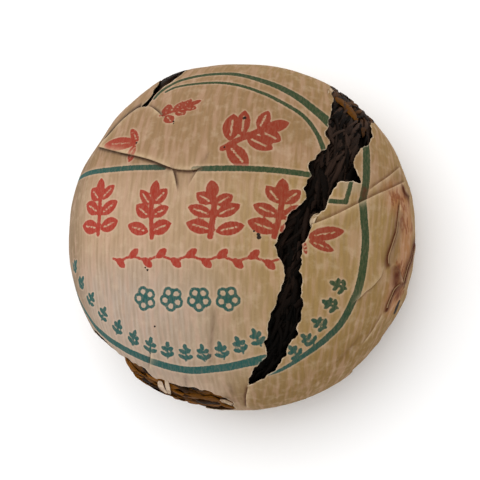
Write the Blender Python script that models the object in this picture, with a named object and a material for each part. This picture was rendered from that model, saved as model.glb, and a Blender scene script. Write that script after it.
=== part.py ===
"""A pu erh tuocha in its torn paper wrapper, modelled in Blender at its real size.

A tuocha is a dome of pressed tea leaves with a hollow underneath, like a thick
bowl turned over. One sheet of printed cotton paper lies over the dome, goes
under its foot and ends as a twist inside the hollow. Old age has torn it open.

A place on the paper is a pair (u, v) in millimetres: how far it lies from the
top of the dome, measured along the paper, and in which direction. +v is the
print's upright and u runs to its right. Lengths are in millimetres until a mesh
is made, and in metres from there on.
"""
import math
import random

import bpy
import numpy as np
from mathutils import Vector, geometry

MM = 0.001

# The wrapped dome
RADIUS = 42.0
HEIGHT = 44.0
WAIST_HEIGHT = 15.0
FOOT_OUTER = 34.0
FOOT_INNER = 27.5
LIP_RADIUS = 3.0
HOLLOW_HEIGHT = 24.0
CROWN_POWER = 2.25
SKIRT_POWER = 2.2
HOLLOW_POWER = 2.4

# The twist of gathered paper that hangs in the hollow, as radius and height
TWIST_PROFILE = [(7.5, 23.8), (4.6, 22.0), (3.8, 18.5), (5.3, 15.0), (4.6, 12.9), (2.0, 12.2)]
TWIST_TURNS = 0.12
TWIST_RIDGE = 0.6
TWIST_RIDGES = 5

# The sheet and the room between it and the tea
PAPER = 0.35
CLEARANCE = 0.5

# Spacings of the sheet's points: on the crown, along torn edges and folds, on the
# pleated skirt, where the skirt bends to the foot, round the lip and on the twist
PAPER_SPACING = 4.0
EDGE_SPACING = 1.9
FOLD_SPACING = 3.4
PLEAT_SPACING = 3.6
FOOT_BEND = 6.0
BEND_SPACING = 2.0
LIP_SPACING = 1.6
TWIST_SPACING = 2.6
KEEP_CLEAR_EDGE = 1.7
KEEP_CLEAR_FOLD = 2.2
MIDWAY_RADIUS = 15.0

# The long tear: its left and its right edge, both from the foot of the print up
TEAR_LEFT = [(7.4, -40.4), (8.5, -38.2), (10.6, -35.5), (12.2, -31.2), (12.3, -27.5),
             (13.6, -22.2), (15.6, -15.8), (16.1, -11.5), (14.5, -6.9), (15.6, -3.6),
             (16.7, 0.2), (20.0, 4.9), (20.3, 8.7), (21.8, 13.6), (24.6, 17.6), (24.2, 21.1),
             (24.5, 25.2), (25.3, 30.1), (25.3, 36.5), (25.9, 42.5), (27.5, 50.5)]
TEAR_RIGHT = [(9.5, -38.6), (12.6, -36.8), (15.4, -34.6), (16.3, -32.2), (19.1, -26.4),
              (20.6, -19.4), (19.6, -12.2), (20.6, -5.8), (21.9, -1.4), (24.8, 3.4),
              (26.8, 8.3), (29.4, 9.8), (32.6, 9.9), (31.2, 14.1), (32.4, 17.2), (35.6, 21.4),
              (36.3, 25.0), (35.0, 29.0), (33.4, 32.2), (34.4, 37.0), (36.6, 41.5),
              (36.8, 47.0), (32.5, 51.0)]

# The narrow slit at the upper left and the lost strip along the lower left
SLIT = [(-21.6, 28.9), (-20.2, 31.9), (-18.4, 35.0), (-16.8, 37.9), (-14.6, 41.4), (-13.2, 46.0),
        (-14.8, 51.5), (-19.5, 53.5), (-23.0, 50.0), (-22.9, 44.5), (-21.4, 39.6),
        (-21.0, 36.2), (-21.9, 31.6)]
LOST_STRIP = [(-33.6, -31.0), (-30.2, -31.4), (-27.0, -32.6), (-23.8, -35.0), (-19.8, -37.2),
              (-18.4, -40.0), (-14.6, -40.6), (-10.4, -42.0), (-5.4, -42.8), (-1.4, -45.0),
              (1.8, -50.0), (0.5, -57.0), (-5.0, -60.5), (-10.0, -59.5), (-14.0, -63.0),
              (-19.0, -60.5), (-25.0, -58.5), (-30.5, -54.5), (-36.5, -48.5), (-38.0, -40.5),
              (-36.8, -34.5)]
OUTLINE_SEEDS = (3, 5, 7)
RAGGED = 0.35
EDGE_LIFT = 0.7
LIFT_REACH = 3.5
LIFT_WAVES = 3.0

# The corner of paper that stands up beside the tear
FLAP = (29.5, 5.0)
FLAP_LIFT = 1.1
FLAP_REACH = 5.5

# Folds: where the paper steps down to its neighbour, on the right of the path. Each has
# its step and how far back from the crest the paper stays raised.
FOLDS = {
    "upper_left": ([(-35.6, 20.6), (-24.9, 16.5), (-15.4, 12.6), (-8.5, 10.7), (-2.6, 11.6)], 0.55, 6.0),
    "shoulder": ([(-20.6, 29.0), (-28.9, 24.3), (-36.0, 17.4)], 0.4, 3.0),
    "right_band": ([(50.6, 16.6), (35.1, 6.0), (25.9, 0.5), (19.5, -2.8)], 0.55, 5.0),
    "right_band_top": ([(48.0, 20.6), (41.4, 14.0), (32.0, 5.2)], 0.4, 3.0),
    "right_pleat_low": ([(33.0, -21.2), (38.4, -13.9), (42.4, -6.0)], 0.65, 4.0),
    "right_pleat_high": ([(45.6, 13.2), (43.4, 1.6), (40.7, -10.4)], 0.6, 3.0),
    "right_tuck": ([(42.0, -23.0), (43.9, -14.6), (46.0, -8.0)], 0.45, 2.2),
    "right_edge": ([(48.8, -24.0), (47.6, -12.5), (51.9, -5.0), (53.0, 3.0)], 0.65, 2.6),
    "right_long": ([(42.9, -19.0), (39.6, -28.2), (32.6, -34.4)], 0.35, 2.4),
    "lower_crease": ([(7.4, -39.4), (7.1, -46.0), (6.6, -53.0)], 0.45, 3.0),
}
FOLD_DROP = 0.9

# Knife pleats that gather the sheet below the waist
PLEATS = 20
PLEAT_START = 52.0
PLEAT_FULL = 64.0
SKIRT_PLEAT = 0.8
HOLLOW_PLEAT = 1.5
PLEAT_STEP = 1.1
PLEAT_SLACK = 0.3
PLEAT_SWELL = 1.5
PLEAT_LEAST = 0.4
PLEAT_SEED = 11

# The sheet's gentle unevenness
UNEVEN = 0.45
WAVES = 6
WAVE_LENGTH = (16.0, 38.0)
WAVE_SEED = 17

# The tea: how deep its bare zones lie, and the leaves pressed into them.
# The headings are the leaves' mean direction in the tear, the slit and the lost strip.
BARE_DEPTH = 2.0
BARE_MARGIN = 1.8
BARE_FADE = 7.2
CAKE_STEPS = 44
CAKE_SPACING = 4.4
LEAF_LENGTH = (6.0, 13.0)
LEAF_WIDTH = (1.5, 2.8)
LEAF_TOP_DEPTH = (0.8, 1.5)
LEAF_TOP_SHARE = 0.5
LEAF_ROOT_DEPTH = 2.4
LEAF_KEEL_DEPTH = 3.4
LEAF_SPACING = 3.6
LEAF_TRIES = 700
LEAF_BEND = 22.0
LEAF_SPREAD = 32.0
LEAF_HEADINGS = (72.0, 105.0, -22.0)
LEAF_SEED = 23

# A leaf's sections: place along it, share of its full width, and how far it is sunk
LEAF_SHAPE = [(0.0, 0.3, 1.0), (0.3, 0.9, 0.0), (0.68, 1.0, 0.1), (1.0, 0.35, 1.0)]

PAPER_COLOUR = (0.47, 0.33, 0.20, 1.0)
TEA_COLOUR = (0.022, 0.013, 0.008, 1.0)


def superellipse(centre, radii, start, end, power, count=160):
    """Points of a superellipse about centre, from the angle start to end, in degrees."""
    turn = np.radians(np.linspace(start, end, count))
    across = np.sign(np.cos(turn)) * np.abs(np.cos(turn)) ** (2 / power)
    up = np.sign(np.sin(turn)) * np.abs(np.sin(turn)) ** (2 / power)
    return np.column_stack([centre[0] + radii[0] * across, centre[1] + radii[1] * up])


def smooth_path(points, spacing, closed=False):
    """A Catmull-Rom curve through points, as points about spacing apart."""
    given = np.array(points, dtype=float)
    if closed:
        padded = np.vstack([given[-1:], given, given[:2]])
    else:
        padded = np.vstack([2 * given[0] - given[1], given, 2 * given[-1] - given[-2]])
    dense = []
    for before, first, second, after in zip(padded, padded[1:], padded[2:], padded[3:]):
        for step in np.arange(0.0, 1.0, 0.05):
            bend = (2 * before - 5 * first + 4 * second - after) * step ** 2
            swing = (3 * first - before - 3 * second + after) * step ** 3
            dense.append(0.5 * (2 * first + (second - before) * step + bend + swing))
    dense.append(padded[-2])
    dense = np.array(dense)
    run = np.concatenate([[0.0], np.cumsum(np.hypot(*np.diff(dense, axis=0).T))])
    count = max(2, round(run[-1] / spacing))
    marks = np.linspace(0.0, run[-1], count + 1)
    path = np.column_stack([np.interp(marks, run, dense[:, 0]), np.interp(marks, run, dense[:, 1])])
    return path[:-1] if closed else path


class Meridian:
    """The wrapped dome's profile by distance s from the top, and the lining under it."""

    def __init__(self):
        inner = FOOT_INNER - LIP_RADIUS
        rise = HOLLOW_HEIGHT - LIP_RADIUS
        crown = superellipse((0, WAIST_HEIGHT), (RADIUS, HEIGHT - WAIST_HEIGHT), 90, 0, CROWN_POWER)
        skirt = superellipse((FOOT_OUTER, WAIST_HEIGHT), (RADIUS - FOOT_OUTER, WAIST_HEIGHT),
                             0, -90, SKIRT_POWER)
        lip = superellipse((FOOT_INNER, LIP_RADIUS), (LIP_RADIUS, LIP_RADIUS), -90, -180, 2)
        hollow = superellipse((0, LIP_RADIUS), (inner, rise), 0, 90, HOLLOW_POWER)
        hollow = hollow[hollow[:, 0] > TWIST_PROFILE[0][0] + 1.0]
        twist = smooth_path(TWIST_PROFILE, 0.1)
        points = np.vstack([crown, skirt, lip, hollow, twist])
        keep = np.concatenate([[True], np.hypot(*np.diff(points, axis=0).T) > 1e-4])
        points = points[keep]
        self.s = np.concatenate([[0.0], np.cumsum(np.hypot(*np.diff(points, axis=0).T))])
        self.r = points[:, 0]
        self.z = points[:, 1]
        slope_r = np.gradient(self.r, self.s)
        slope_z = np.gradient(self.z, self.s)
        size = np.hypot(slope_r, slope_z)
        self.out_r = -slope_z / size
        self.out_z = slope_r / size
        self.waist = self.s[len(crown) - 1]
        self.foot_start = self.at_radius_below_waist(FOOT_OUTER)
        self.foot_end = self.foot_start + FOOT_OUTER - FOOT_INNER
        self.hollow_start = self.foot_end + LIP_RADIUS * math.pi / 2
        self.twist_start = self.s[len(self.s) - len(twist)]
        self.end = self.s[-1]
        self.log_scale = self.stretch()

    def at_radius_below_waist(self, radius):
        """Distance s at which the skirt reaches radius."""
        below = (self.s > self.waist) & (self.r <= radius + 1e-6)
        return self.s[below][0]

    def stretch(self):
        """The logarithm of the map radius that keeps angles true at each s."""
        start = 1.0
        steps = np.diff(self.s) / np.maximum((self.r[1:] + self.r[:-1]) / 2, 1e-3)
        total = np.concatenate([[0.0], np.cumsum(steps)])
        total -= np.interp(start, self.s, total)
        return total

    def place(self, u, v, height):
        """Points of the sheet's outer face, raised by height, in the object's frame."""
        s = np.hypot(u, v)
        turn = np.arctan2(v, u)
        r = np.interp(s, self.s, self.r) + height * np.interp(s, self.s, self.out_r)
        z = np.interp(s, self.s, self.z) + height * np.interp(s, self.s, self.out_z)
        return np.column_stack([r * np.cos(turn), r * np.sin(turn), z])

    def place_lining(self, u, v, height):
        """Points of the sheet's inner face. It closes straight across above the twist."""
        s = np.hypot(u, v)
        turn = np.arctan2(v, u)
        points = self.place(u, v, height - PAPER)
        across = np.clip((self.end - s) / (self.end - self.twist_start), 0.0, 1.0)
        r_edge = np.interp(self.twist_start, self.s, self.r)
        z_edge = np.interp(self.twist_start, self.s, self.z) + PAPER
        roof = np.column_stack([r_edge * across * np.cos(turn), r_edge * across * np.sin(turn),
                                np.full(len(s), z_edge)])
        over_twist = (s >= self.twist_start)[:, None]
        return np.where(over_twist, roof, points)

    def to_map(self, u, v):
        """Paper places on the flat map that keeps angles true."""
        s = np.hypot(u, v)
        turn = np.arctan2(v, u)
        radius = np.where(s < 1.0, s, np.exp(np.interp(s, self.s, self.log_scale)))
        return np.column_stack([radius * np.cos(turn), radius * np.sin(turn)])

    def from_map(self, points):
        """Paper places back from the flat map."""
        radius = np.hypot(points[:, 0], points[:, 1])
        turn = np.arctan2(points[:, 1], points[:, 0])
        s = np.interp(np.log(np.maximum(radius, 1e-9)), self.log_scale, self.s)
        s = np.where(radius < 1.0, radius, s)
        return s * np.cos(turn), s * np.sin(turn)


MERIDIAN = Meridian()


def ragged(points, spacing, seed):
    """A closed torn outline: a smooth path whose points are pushed in and out a little."""
    dice = random.Random(seed)
    path = smooth_path(points, spacing, closed=True)
    along = np.roll(path, -1, axis=0) - np.roll(path, 1, axis=0)
    along /= np.hypot(along[:, 0], along[:, 1])[:, None]
    push = np.array([dice.uniform(-RAGGED, RAGGED) for _ in path])
    return path + np.column_stack([along[:, 1], -along[:, 0]]) * push[:, None]


def torn_outlines():
    """The three openings in the sheet, each a closed ring of places."""
    tear = TEAR_RIGHT + TEAR_LEFT[::-1]
    rings = (tear, SLIT, LOST_STRIP)
    return [ragged(ring, EDGE_SPACING, seed) for ring, seed in zip(rings, OUTLINE_SEEDS)]


def distance_to(path, u, v, closed=False):
    """Distance from each place to a path, and the side of the path it lies on."""
    ends = np.roll(path, -1, axis=0) if closed else path[1:]
    best = np.full(len(u), np.inf)
    side = np.ones(len(u))
    for (u1, v1), (u2, v2) in zip(path, ends):
        du, dv = u2 - u1, v2 - v1
        part = ((u - u1) * du + (v - v1) * dv) / (du * du + dv * dv)
        part = np.clip(part, 0.0, 1.0)
        gap = np.hypot(u - u1 - part * du, v - v1 - part * dv)
        nearer = gap < best
        best = np.where(nearer, gap, best)
        side = np.where(nearer, np.sign(du * (v - v1) - dv * (u - u1)), side)
    return best, side


def inside(outline, u, v):
    """True for each place within a closed outline, by counting crossings."""
    found = np.zeros(len(u), dtype=bool)
    for (u1, v1), (u2, v2) in zip(outline, np.roll(outline, -1, axis=0)):
        if v1 == v2:
            continue
        crosses = (v1 > v) != (v2 > v)
        found ^= crosses & (u < u1 + (v - v1) * (u2 - u1) / (v2 - v1))
    return found


def ease(value, start, end):
    """0 before start, 1 after end, and a smooth rise between them."""
    part = np.clip((value - start) / (end - start), 0.0, 1.0)
    return part * part * (3 - 2 * part)


def foot_fade(s):
    """1 on the dome and 0 from just above the foot inwards, which keeps the foot flat."""
    return 1 - ease(s, MERIDIAN.foot_start - 2 * FOOT_BEND, MERIDIAN.foot_start - FOOT_BEND / 2)


def pleat_turns():
    """The direction of each pleat's crest, unevenly spaced round the dome."""
    dice = random.Random(PLEAT_SEED)
    step = 2 * math.pi / PLEATS
    return [step * (number + dice.uniform(-PLEAT_SLACK, PLEAT_SLACK)) for number in range(PLEATS)]


def pleat_depths():
    """How strongly each pleat stands out, up to 1."""
    dice = random.Random(PLEAT_SEED + 1)
    return [dice.uniform(PLEAT_LEAST, 1.0) for _ in range(PLEATS)]


def pleats(s, turn):
    """Height of the knife pleats: a slow rise to each crest, then a sudden drop."""
    crests = np.array(pleat_turns())
    depths = np.array(pleat_depths())
    order = np.searchsorted(crests, np.mod(turn - crests[0], 2 * math.pi) + crests[0])
    following = order % PLEATS
    before = crests[order - 1]
    after = crests[following] + np.where(order == PLEATS, 2 * math.pi, 0.0)
    place = np.mod(turn - before, 2 * math.pi)
    drop = PLEAT_STEP / np.maximum(np.interp(s, MERIDIAN.s, MERIDIAN.r), TWIST_PROFILE[1][0])
    width = after - before
    rise = np.clip((place - drop) / (width - drop), 0.0, 1.0) ** PLEAT_SWELL * depths[following]
    fall = np.clip(1.0 - place / drop, 0.0, 1.0) * depths[order - 1]
    skirt = ease(s, PLEAT_START, PLEAT_FULL) * foot_fade(s)
    hollow = ease(s, MERIDIAN.foot_end, MERIDIAN.hollow_start + LIP_RADIUS)
    hollow = hollow * (1 - ease(s, MERIDIAN.end - LIP_RADIUS, MERIDIAN.end))
    return np.maximum(rise, fall) * (SKIRT_PLEAT * skirt + HOLLOW_PLEAT * hollow)


def soft_waves(u, v):
    """A gentle unevenness between 0 and 1 that repeats nowhere on the sheet."""
    dice = random.Random(WAVE_SEED)
    total = np.zeros(len(u))
    for _ in range(WAVES):
        heading = dice.uniform(0, math.pi)
        length = dice.uniform(*WAVE_LENGTH)
        along = u * math.cos(heading) + v * math.sin(heading)
        total += np.sin(2 * math.pi * (along / length + dice.random()))
    return 0.5 + total / (2 * WAVES)


def twist_ridges(s, turn):
    """Height of the rounded ridges that wind up the twist."""
    run = s - MERIDIAN.twist_start
    left = MERIDIAN.end - s
    ridges = 0.5 + 0.5 * np.cos(TWIST_RIDGES * turn + 2 * math.pi * TWIST_TURNS * run)
    return TWIST_RIDGE * ridges * ease(run, 1, 1 + LIP_RADIUS) * ease(left, 1, 1 + LIP_RADIUS)


def relief(u, v, outlines):
    """How far the sheet stands off its smooth form, in millimetres and never below 0."""
    s = np.hypot(u, v)
    turn = np.arctan2(v, u)
    height = UNEVEN * soft_waves(u, v)
    for path, step, width in FOLDS.values():
        gap, side = distance_to(smooth_path(path, FOLD_SPACING), u, v)
        raised = np.exp(-gap / width)
        lowered = 1 - np.clip(gap / FOLD_DROP, 0.0, 1.0)
        height = height + step * np.where(side > 0, raised, lowered)
    for outline in outlines:
        gap, _ = distance_to(outline, u, v, closed=True)
        waves = soft_waves(v * LIFT_WAVES, u * LIFT_WAVES)
        height = height + EDGE_LIFT * waves * np.exp(-gap / LIFT_REACH)
    flap_gap = np.hypot(u - FLAP[0], v - FLAP[1])
    height = height + FLAP_LIFT * np.exp(-(flap_gap / FLAP_REACH) ** 2)
    return height * foot_fade(s) + pleats(s, turn) + twist_ridges(s, turn)


def stops_between(bends, spacings):
    """Distances s from the first bend to the last, with each bend among them."""
    stops = []
    for first, last, spacing in zip(bends, bends[1:], spacings):
        count = max(1, round((last - first) / spacing))
        stops += list(np.linspace(first, last, count + 1)[1:])
    return stops


def ring_stops():
    """Distances s of the rings of points, with a ring on each bend of the profile."""
    bends = [0.0, PLEAT_START, MERIDIAN.foot_start - FOOT_BEND, MERIDIAN.foot_start, MERIDIAN.foot_end,
             MERIDIAN.hollow_start, MERIDIAN.twist_start, MERIDIAN.end]
    foot_width = FOOT_OUTER - FOOT_INNER
    return stops_between(bends, [PAPER_SPACING, PLEAT_SPACING, BEND_SPACING, foot_width, LIP_SPACING,
                                 PAPER_SPACING, TWIST_SPACING])


def ring_turns(s):
    """Directions of the points on one ring: even on the crown, on the pleats below it."""
    radius = np.interp(s, MERIDIAN.s, MERIDIAN.r)
    if s < PLEAT_START - 0.1:
        count = max(5, round(2 * math.pi * radius / PAPER_SPACING))
        shift = 0.5 * (round(s / PAPER_SPACING) % 2)
        return [2 * math.pi * (number + shift) / count for number in range(count)]
    if s > MERIDIAN.twist_start + 1:
        return [2 * math.pi * number / (3 * TWIST_RIDGES) for number in range(3 * TWIST_RIDGES)]
    crests = pleat_turns()
    turns = []
    drop = PLEAT_STEP / radius
    for number, crest in enumerate(crests):
        following = crests[(number + 1) % PLEATS] + (2 * math.pi if number == PLEATS - 1 else 0.0)
        turns += [crest, crest + drop]
        if radius > MIDWAY_RADIUS:
            turns.append((crest + drop + following) / 2)
    return turns


def ring_places(s):
    """The ring's points as places on the paper."""
    return np.array([(s * math.cos(turn), s * math.sin(turn)) for turn in ring_turns(s)])


def open_points(outlines, lines):
    """The top of the dome and the points of its rings that stand clear of outlines and folds."""
    rings = [ring_places(s) for s in ring_stops() if s < MERIDIAN.foot_start - 1.0]
    places = np.vstack([[(0.0, 0.0)]] + rings)
    u, v = places.T
    keep = np.ones(len(places), dtype=bool)
    for outline in outlines:
        gap, _ = distance_to(outline, u, v, closed=True)
        keep &= (gap > KEEP_CLEAR_EDGE) & ~inside(outline, u, v)
    for line in lines:
        gap, _ = distance_to(line, u, v)
        keep &= gap > KEEP_CLEAR_FOLD
    return places[keep]


def fold_lines():
    """Each fold's crest and the foot of its drop, as rows of places."""
    lines = []
    for path, _, _ in FOLDS.values():
        crest = smooth_path(path, FOLD_SPACING)
        along = np.gradient(crest, axis=0)
        along /= np.hypot(along[:, 0], along[:, 1])[:, None]
        lines += [crest, crest + FOLD_DROP * np.column_stack([along[:, 1], -along[:, 0]])]
    return lines


def sheet_triangles(outlines):
    """Places over the whole sheet and the triangles between them, without the openings."""
    lines = fold_lines()
    closed_rows = outlines + [ring_places(s) for s in ring_stops() if s > MERIDIAN.foot_start - 1.0]
    places = list(open_points(outlines, lines))
    edges = []
    for row in closed_rows + lines:
        first = len(places)
        places += list(row)
        edges += [(first + number, first + number + 1) for number in range(len(row) - 1)]
    first = len(places) - sum(len(row) for row in closed_rows + lines)
    for row in closed_rows:
        edges.append((first + len(row) - 1, first))
        first += len(row)
    places = np.array(places)
    flat = [Vector(point) for point in MERIDIAN.to_map(places[:, 0], places[:, 1])]
    made = geometry.delaunay_2d_cdt(flat, edges, [], 0, 1e-6)
    points = np.array([tuple(point) for point in made[0]])
    triangles = np.array(made[2])
    u, v = MERIDIAN.from_map(points)
    middle = MERIDIAN.from_map(points[triangles].mean(axis=1))
    bare = np.zeros(len(triangles), dtype=bool)
    for outline in outlines:
        bare |= inside(outline, *middle)
    return u, v, triangles[~bare]


def make_object(name, points, faces, colour, roughness):
    """A closed mesh object, from points in millimetres, with its own material."""
    mesh = bpy.data.meshes.new(name)
    mesh.from_pydata([Vector(point) * MM for point in points], [], faces)
    mesh.validate()
    mesh.shade_smooth()
    mesh.set_sharp_from_angle(angle=math.radians(35))
    finish = bpy.data.materials.new(name)
    finish.use_nodes = True
    shader = finish.node_tree.nodes["Principled BSDF"]
    shader.inputs["Base Color"].default_value = colour
    shader.inputs["Roughness"].default_value = roughness
    mesh.materials.append(finish)
    made = bpy.data.objects.new(name, mesh)
    bpy.context.scene.collection.objects.link(made)
    return made


def make_wrapper(outlines):
    """The sheet as one closed solid: outer face, inner face and the walls of the torn edges."""
    u, v, triangles = sheet_triangles(outlines)
    height = relief(u, v, outlines)
    outer = MERIDIAN.place(u, v, height)
    lining = MERIDIAN.place_lining(u, v, height)
    count = len(u)
    faces = [tuple(int(corner) for corner in triangle) for triangle in triangles]
    sides = set()
    for a, b, c in faces:
        sides |= {(a, b), (b, c), (c, a)}
    border = sorted(edge for edge in sides if (edge[1], edge[0]) not in sides)
    turned = [(c + count, b + count, a + count) for a, b, c in faces]
    walls = []
    last_ring = []
    for a, b in border:
        if math.hypot(u[a], v[a]) > MERIDIAN.end - 0.5:
            last_ring.append((a, b))
            continue
        walls += [(b, a, a + count), (b, a + count, b + count)]
    tip = MERIDIAN.place(np.array([MERIDIAN.end]), np.array([0.0]), np.zeros(1))[0]
    roof = MERIDIAN.place_lining(np.array([MERIDIAN.end]), np.array([0.0]), np.zeros(1))[0]
    points = list(outer) + list(lining) + [np.array([0.0, 0.0, tip[2]]), roof]
    caps = []
    for a, b in last_ring:
        caps += [(b, a, 2 * count), (a + count, b + count, 2 * count + 1)]
    return make_object("wrapper", points, faces + turned + walls + caps, PAPER_COLOUR, 0.85)


def cake_stops():
    """Distances s of the cake's rings, with one on each bend of the profile."""
    bends = [0.0, MERIDIAN.waist, MERIDIAN.foot_start - FOOT_BEND, MERIDIAN.foot_start,
             MERIDIAN.foot_end, MERIDIAN.hollow_start, MERIDIAN.twist_start]
    foot_width = FOOT_OUTER - FOOT_INNER
    return stops_between(bends, [CAKE_SPACING, CAKE_SPACING, BEND_SPACING, foot_width, LIP_SPACING,
                                 CAKE_SPACING])


def bare_depth(u, v, outlines):
    """Depth of the tea under the sheet's outer face, more where the sheet has torn away."""
    deepest = np.zeros(len(u))
    for outline in outlines:
        gap, _ = distance_to(outline, u, v, closed=True)
        gap = np.where(inside(outline, u, v), 0.0, gap)
        deepest = np.maximum(deepest, 1 - ease(gap, BARE_MARGIN, BARE_FADE))
    covered = PAPER + CLEARANCE
    return covered + (BARE_DEPTH - covered) * deepest


def make_core(outlines):
    """The plain pressed dome with its hollow, which the leaves are joined to."""
    turns = [2 * math.pi * number / CAKE_STEPS for number in range(CAKE_STEPS)]
    rings = cake_stops()
    top = MERIDIAN.place(np.zeros(1), np.zeros(1), np.array([-PAPER - CLEARANCE]))
    u = np.array([s * math.cos(turn) for s in rings for turn in turns])
    v = np.array([s * math.sin(turn) for s in rings for turn in turns])
    skin = MERIDIAN.place(u, v, -bare_depth(u, v, outlines))
    roof = np.array([[0.0, 0.0, skin[-1][2]]])
    points = list(top) + list(skin) + list(roof)
    faces = []
    for step in range(CAKE_STEPS):
        after = (step + 1) % CAKE_STEPS
        faces.append((0, 1 + step, 1 + after))
        for ring in range(len(rings) - 1):
            near, far = 1 + ring * CAKE_STEPS, 1 + (ring + 1) * CAKE_STEPS
            faces += [(near + step, far + step, far + after), (near + step, far + after, near + after)]
        edge = 1 + (len(rings) - 1) * CAKE_STEPS
        faces.append((edge + after, edge + step, len(points) - 1))
    return make_object("tea_cake", points, faces, TEA_COLOUR, 0.7)


def leaf_places(outlines):
    """Where the pressed leaves lie: spread over the bare tea, each with its heading."""
    dice = random.Random(LEAF_SEED)
    chosen = []
    for outline, heading in zip(outlines, LEAF_HEADINGS):
        low, high = outline.min(axis=0), outline.max(axis=0)
        for _ in range(LEAF_TRIES):
            place = np.array([[dice.uniform(low[0], high[0]), dice.uniform(low[1], high[1])]])
            turned = math.radians(heading + dice.uniform(-LEAF_SPREAD, LEAF_SPREAD))
            if not inside(outline, place[:, 0], place[:, 1])[0]:
                continue
            if any(math.dist(place[0], other) < LEAF_SPACING for other, _ in chosen):
                continue
            chosen.append((place[0], turned))
    return chosen


def make_leaf(place, heading, dice):
    """One pressed leaf: a bent strip that tapers into the cake at both ends."""
    length = dice.uniform(*LEAF_LENGTH)
    width = dice.uniform(*LEAF_WIDTH)
    crown = dice.uniform(*LEAF_TOP_DEPTH)
    bend = math.radians(dice.uniform(-LEAF_BEND, LEAF_BEND))
    points = []
    for part, breadth, sunk in LEAF_SHAPE:
        turned = heading + bend * (part - 0.5)
        along = (part - 0.5) * length
        u = place[0] + along * math.cos(turned)
        v = place[1] + along * math.sin(turned)
        half = 0.5 * width * breadth
        top = crown + (LEAF_ROOT_DEPTH - crown) * sunk
        section = [(-1.0, LEAF_ROOT_DEPTH), (0.0, LEAF_KEEL_DEPTH), (1.0, LEAF_ROOT_DEPTH),
                   (LEAF_TOP_SHARE, top), (-LEAF_TOP_SHARE, top)]
        across = np.array([half * side for side, _ in section])
        depth = np.array([deep for _, deep in section])
        points += list(MERIDIAN.place(u - across * math.sin(turned), v + across * math.cos(turned), -depth))
    count = len(section)
    faces = [tuple(range(count)), tuple(range(len(points) - 1, len(points) - 1 - count, -1))]
    for ring in range(len(LEAF_SHAPE) - 1):
        for side in range(count):
            after = (side + 1) % count
            near, far = ring * count, (ring + 1) * count
            faces.append((near + side, far + side, far + after, near + after))
    leaf = make_object("leaf", points, faces, TEA_COLOUR, 0.7)
    leaf.hide_render = True
    leaf.display_type = "WIRE"
    return leaf


def make_cake(outlines):
    """The tea: its core with the leaves that show in the openings joined on as one solid."""
    core = make_core(outlines)
    dice = random.Random(LEAF_SEED + 1)
    bundle = bpy.data.collections.new("leaves")
    bpy.context.scene.collection.children.link(bundle)
    for place, heading in leaf_places(outlines):
        leaf = make_leaf(place, heading, dice)
        bpy.context.scene.collection.objects.unlink(leaf)
        bundle.objects.link(leaf)
    join = core.modifiers.new("leaves", "BOOLEAN")
    join.operation = "UNION"
    join.operand_type = "COLLECTION"
    join.collection = bundle
    join.solver = "EXACT"
    bpy.context.view_layer.update()
    evaluated = core.evaluated_get(bpy.context.evaluated_depsgraph_get())
    joined = bpy.data.meshes.new_from_object(evaluated)
    core.modifiers.clear()
    core.data = joined
    for leaf in list(bundle.objects):
        bpy.data.objects.remove(leaf, do_unlink=True)
    bpy.data.collections.remove(bundle)
    return core


def main():
    for thing in list(bpy.data.objects):
        bpy.data.objects.remove(thing, do_unlink=True)
    outlines = torn_outlines()
    make_wrapper(outlines)
    make_cake(outlines)


main()
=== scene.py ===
"""The looks of a torn, paper-wrapped pu erh tuocha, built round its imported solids.

The wrapper is one thin crumpled sheet of printed cotton paper with torn edges. The tea
is a pressed core with rolled leaves over it, where the paper has torn away.

A place on the paper is a pair (u, v) in millimetres: how far it lies from the top of
the dome, measured along the paper, and in which direction. +v is the print's upright
and u runs to its right. Lengths are in millimetres until a mesh is made.
"""
import math
import random

import bpy
import numpy as np
from mathutils import Matrix, Vector, geometry, kdtree


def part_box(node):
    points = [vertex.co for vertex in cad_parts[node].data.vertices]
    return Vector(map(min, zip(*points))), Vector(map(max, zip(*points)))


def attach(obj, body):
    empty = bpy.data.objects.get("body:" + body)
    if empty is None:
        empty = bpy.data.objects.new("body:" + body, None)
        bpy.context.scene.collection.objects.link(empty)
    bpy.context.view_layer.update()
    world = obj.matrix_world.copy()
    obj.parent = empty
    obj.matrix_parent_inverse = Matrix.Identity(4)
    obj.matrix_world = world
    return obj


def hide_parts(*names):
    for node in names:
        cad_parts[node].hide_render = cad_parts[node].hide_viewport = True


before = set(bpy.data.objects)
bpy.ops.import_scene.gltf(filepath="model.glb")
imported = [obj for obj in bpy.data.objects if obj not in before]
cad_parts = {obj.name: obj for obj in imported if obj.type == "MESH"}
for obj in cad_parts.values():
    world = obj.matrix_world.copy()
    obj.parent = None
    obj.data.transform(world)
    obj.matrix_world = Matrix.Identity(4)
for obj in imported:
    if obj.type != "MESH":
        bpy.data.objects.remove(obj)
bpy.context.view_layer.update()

MM = 0.001

# The sheet in the solids, and how thin it is here
SOLID_PAPER = 0.35
SOLID_CLEARANCE = 0.5
PAPER = 0.18

# The wrapped dome, from the tea's box and the sheet that lies over it
TEA_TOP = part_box("tea_cake")[1]
RADIUS = TEA_TOP.x / MM + SOLID_PAPER + SOLID_CLEARANCE
HEIGHT = TEA_TOP.z / MM + SOLID_PAPER + SOLID_CLEARANCE
WAIST_HEIGHT = 15.0
FOOT_OUTER = 34.0
FOOT_INNER = 27.5
LIP_RADIUS = 3.0
HOLLOW_HEIGHT = 24.0
CROWN_POWER = 2.25
SKIRT_POWER = 2.2
HOLLOW_POWER = 2.4

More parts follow.
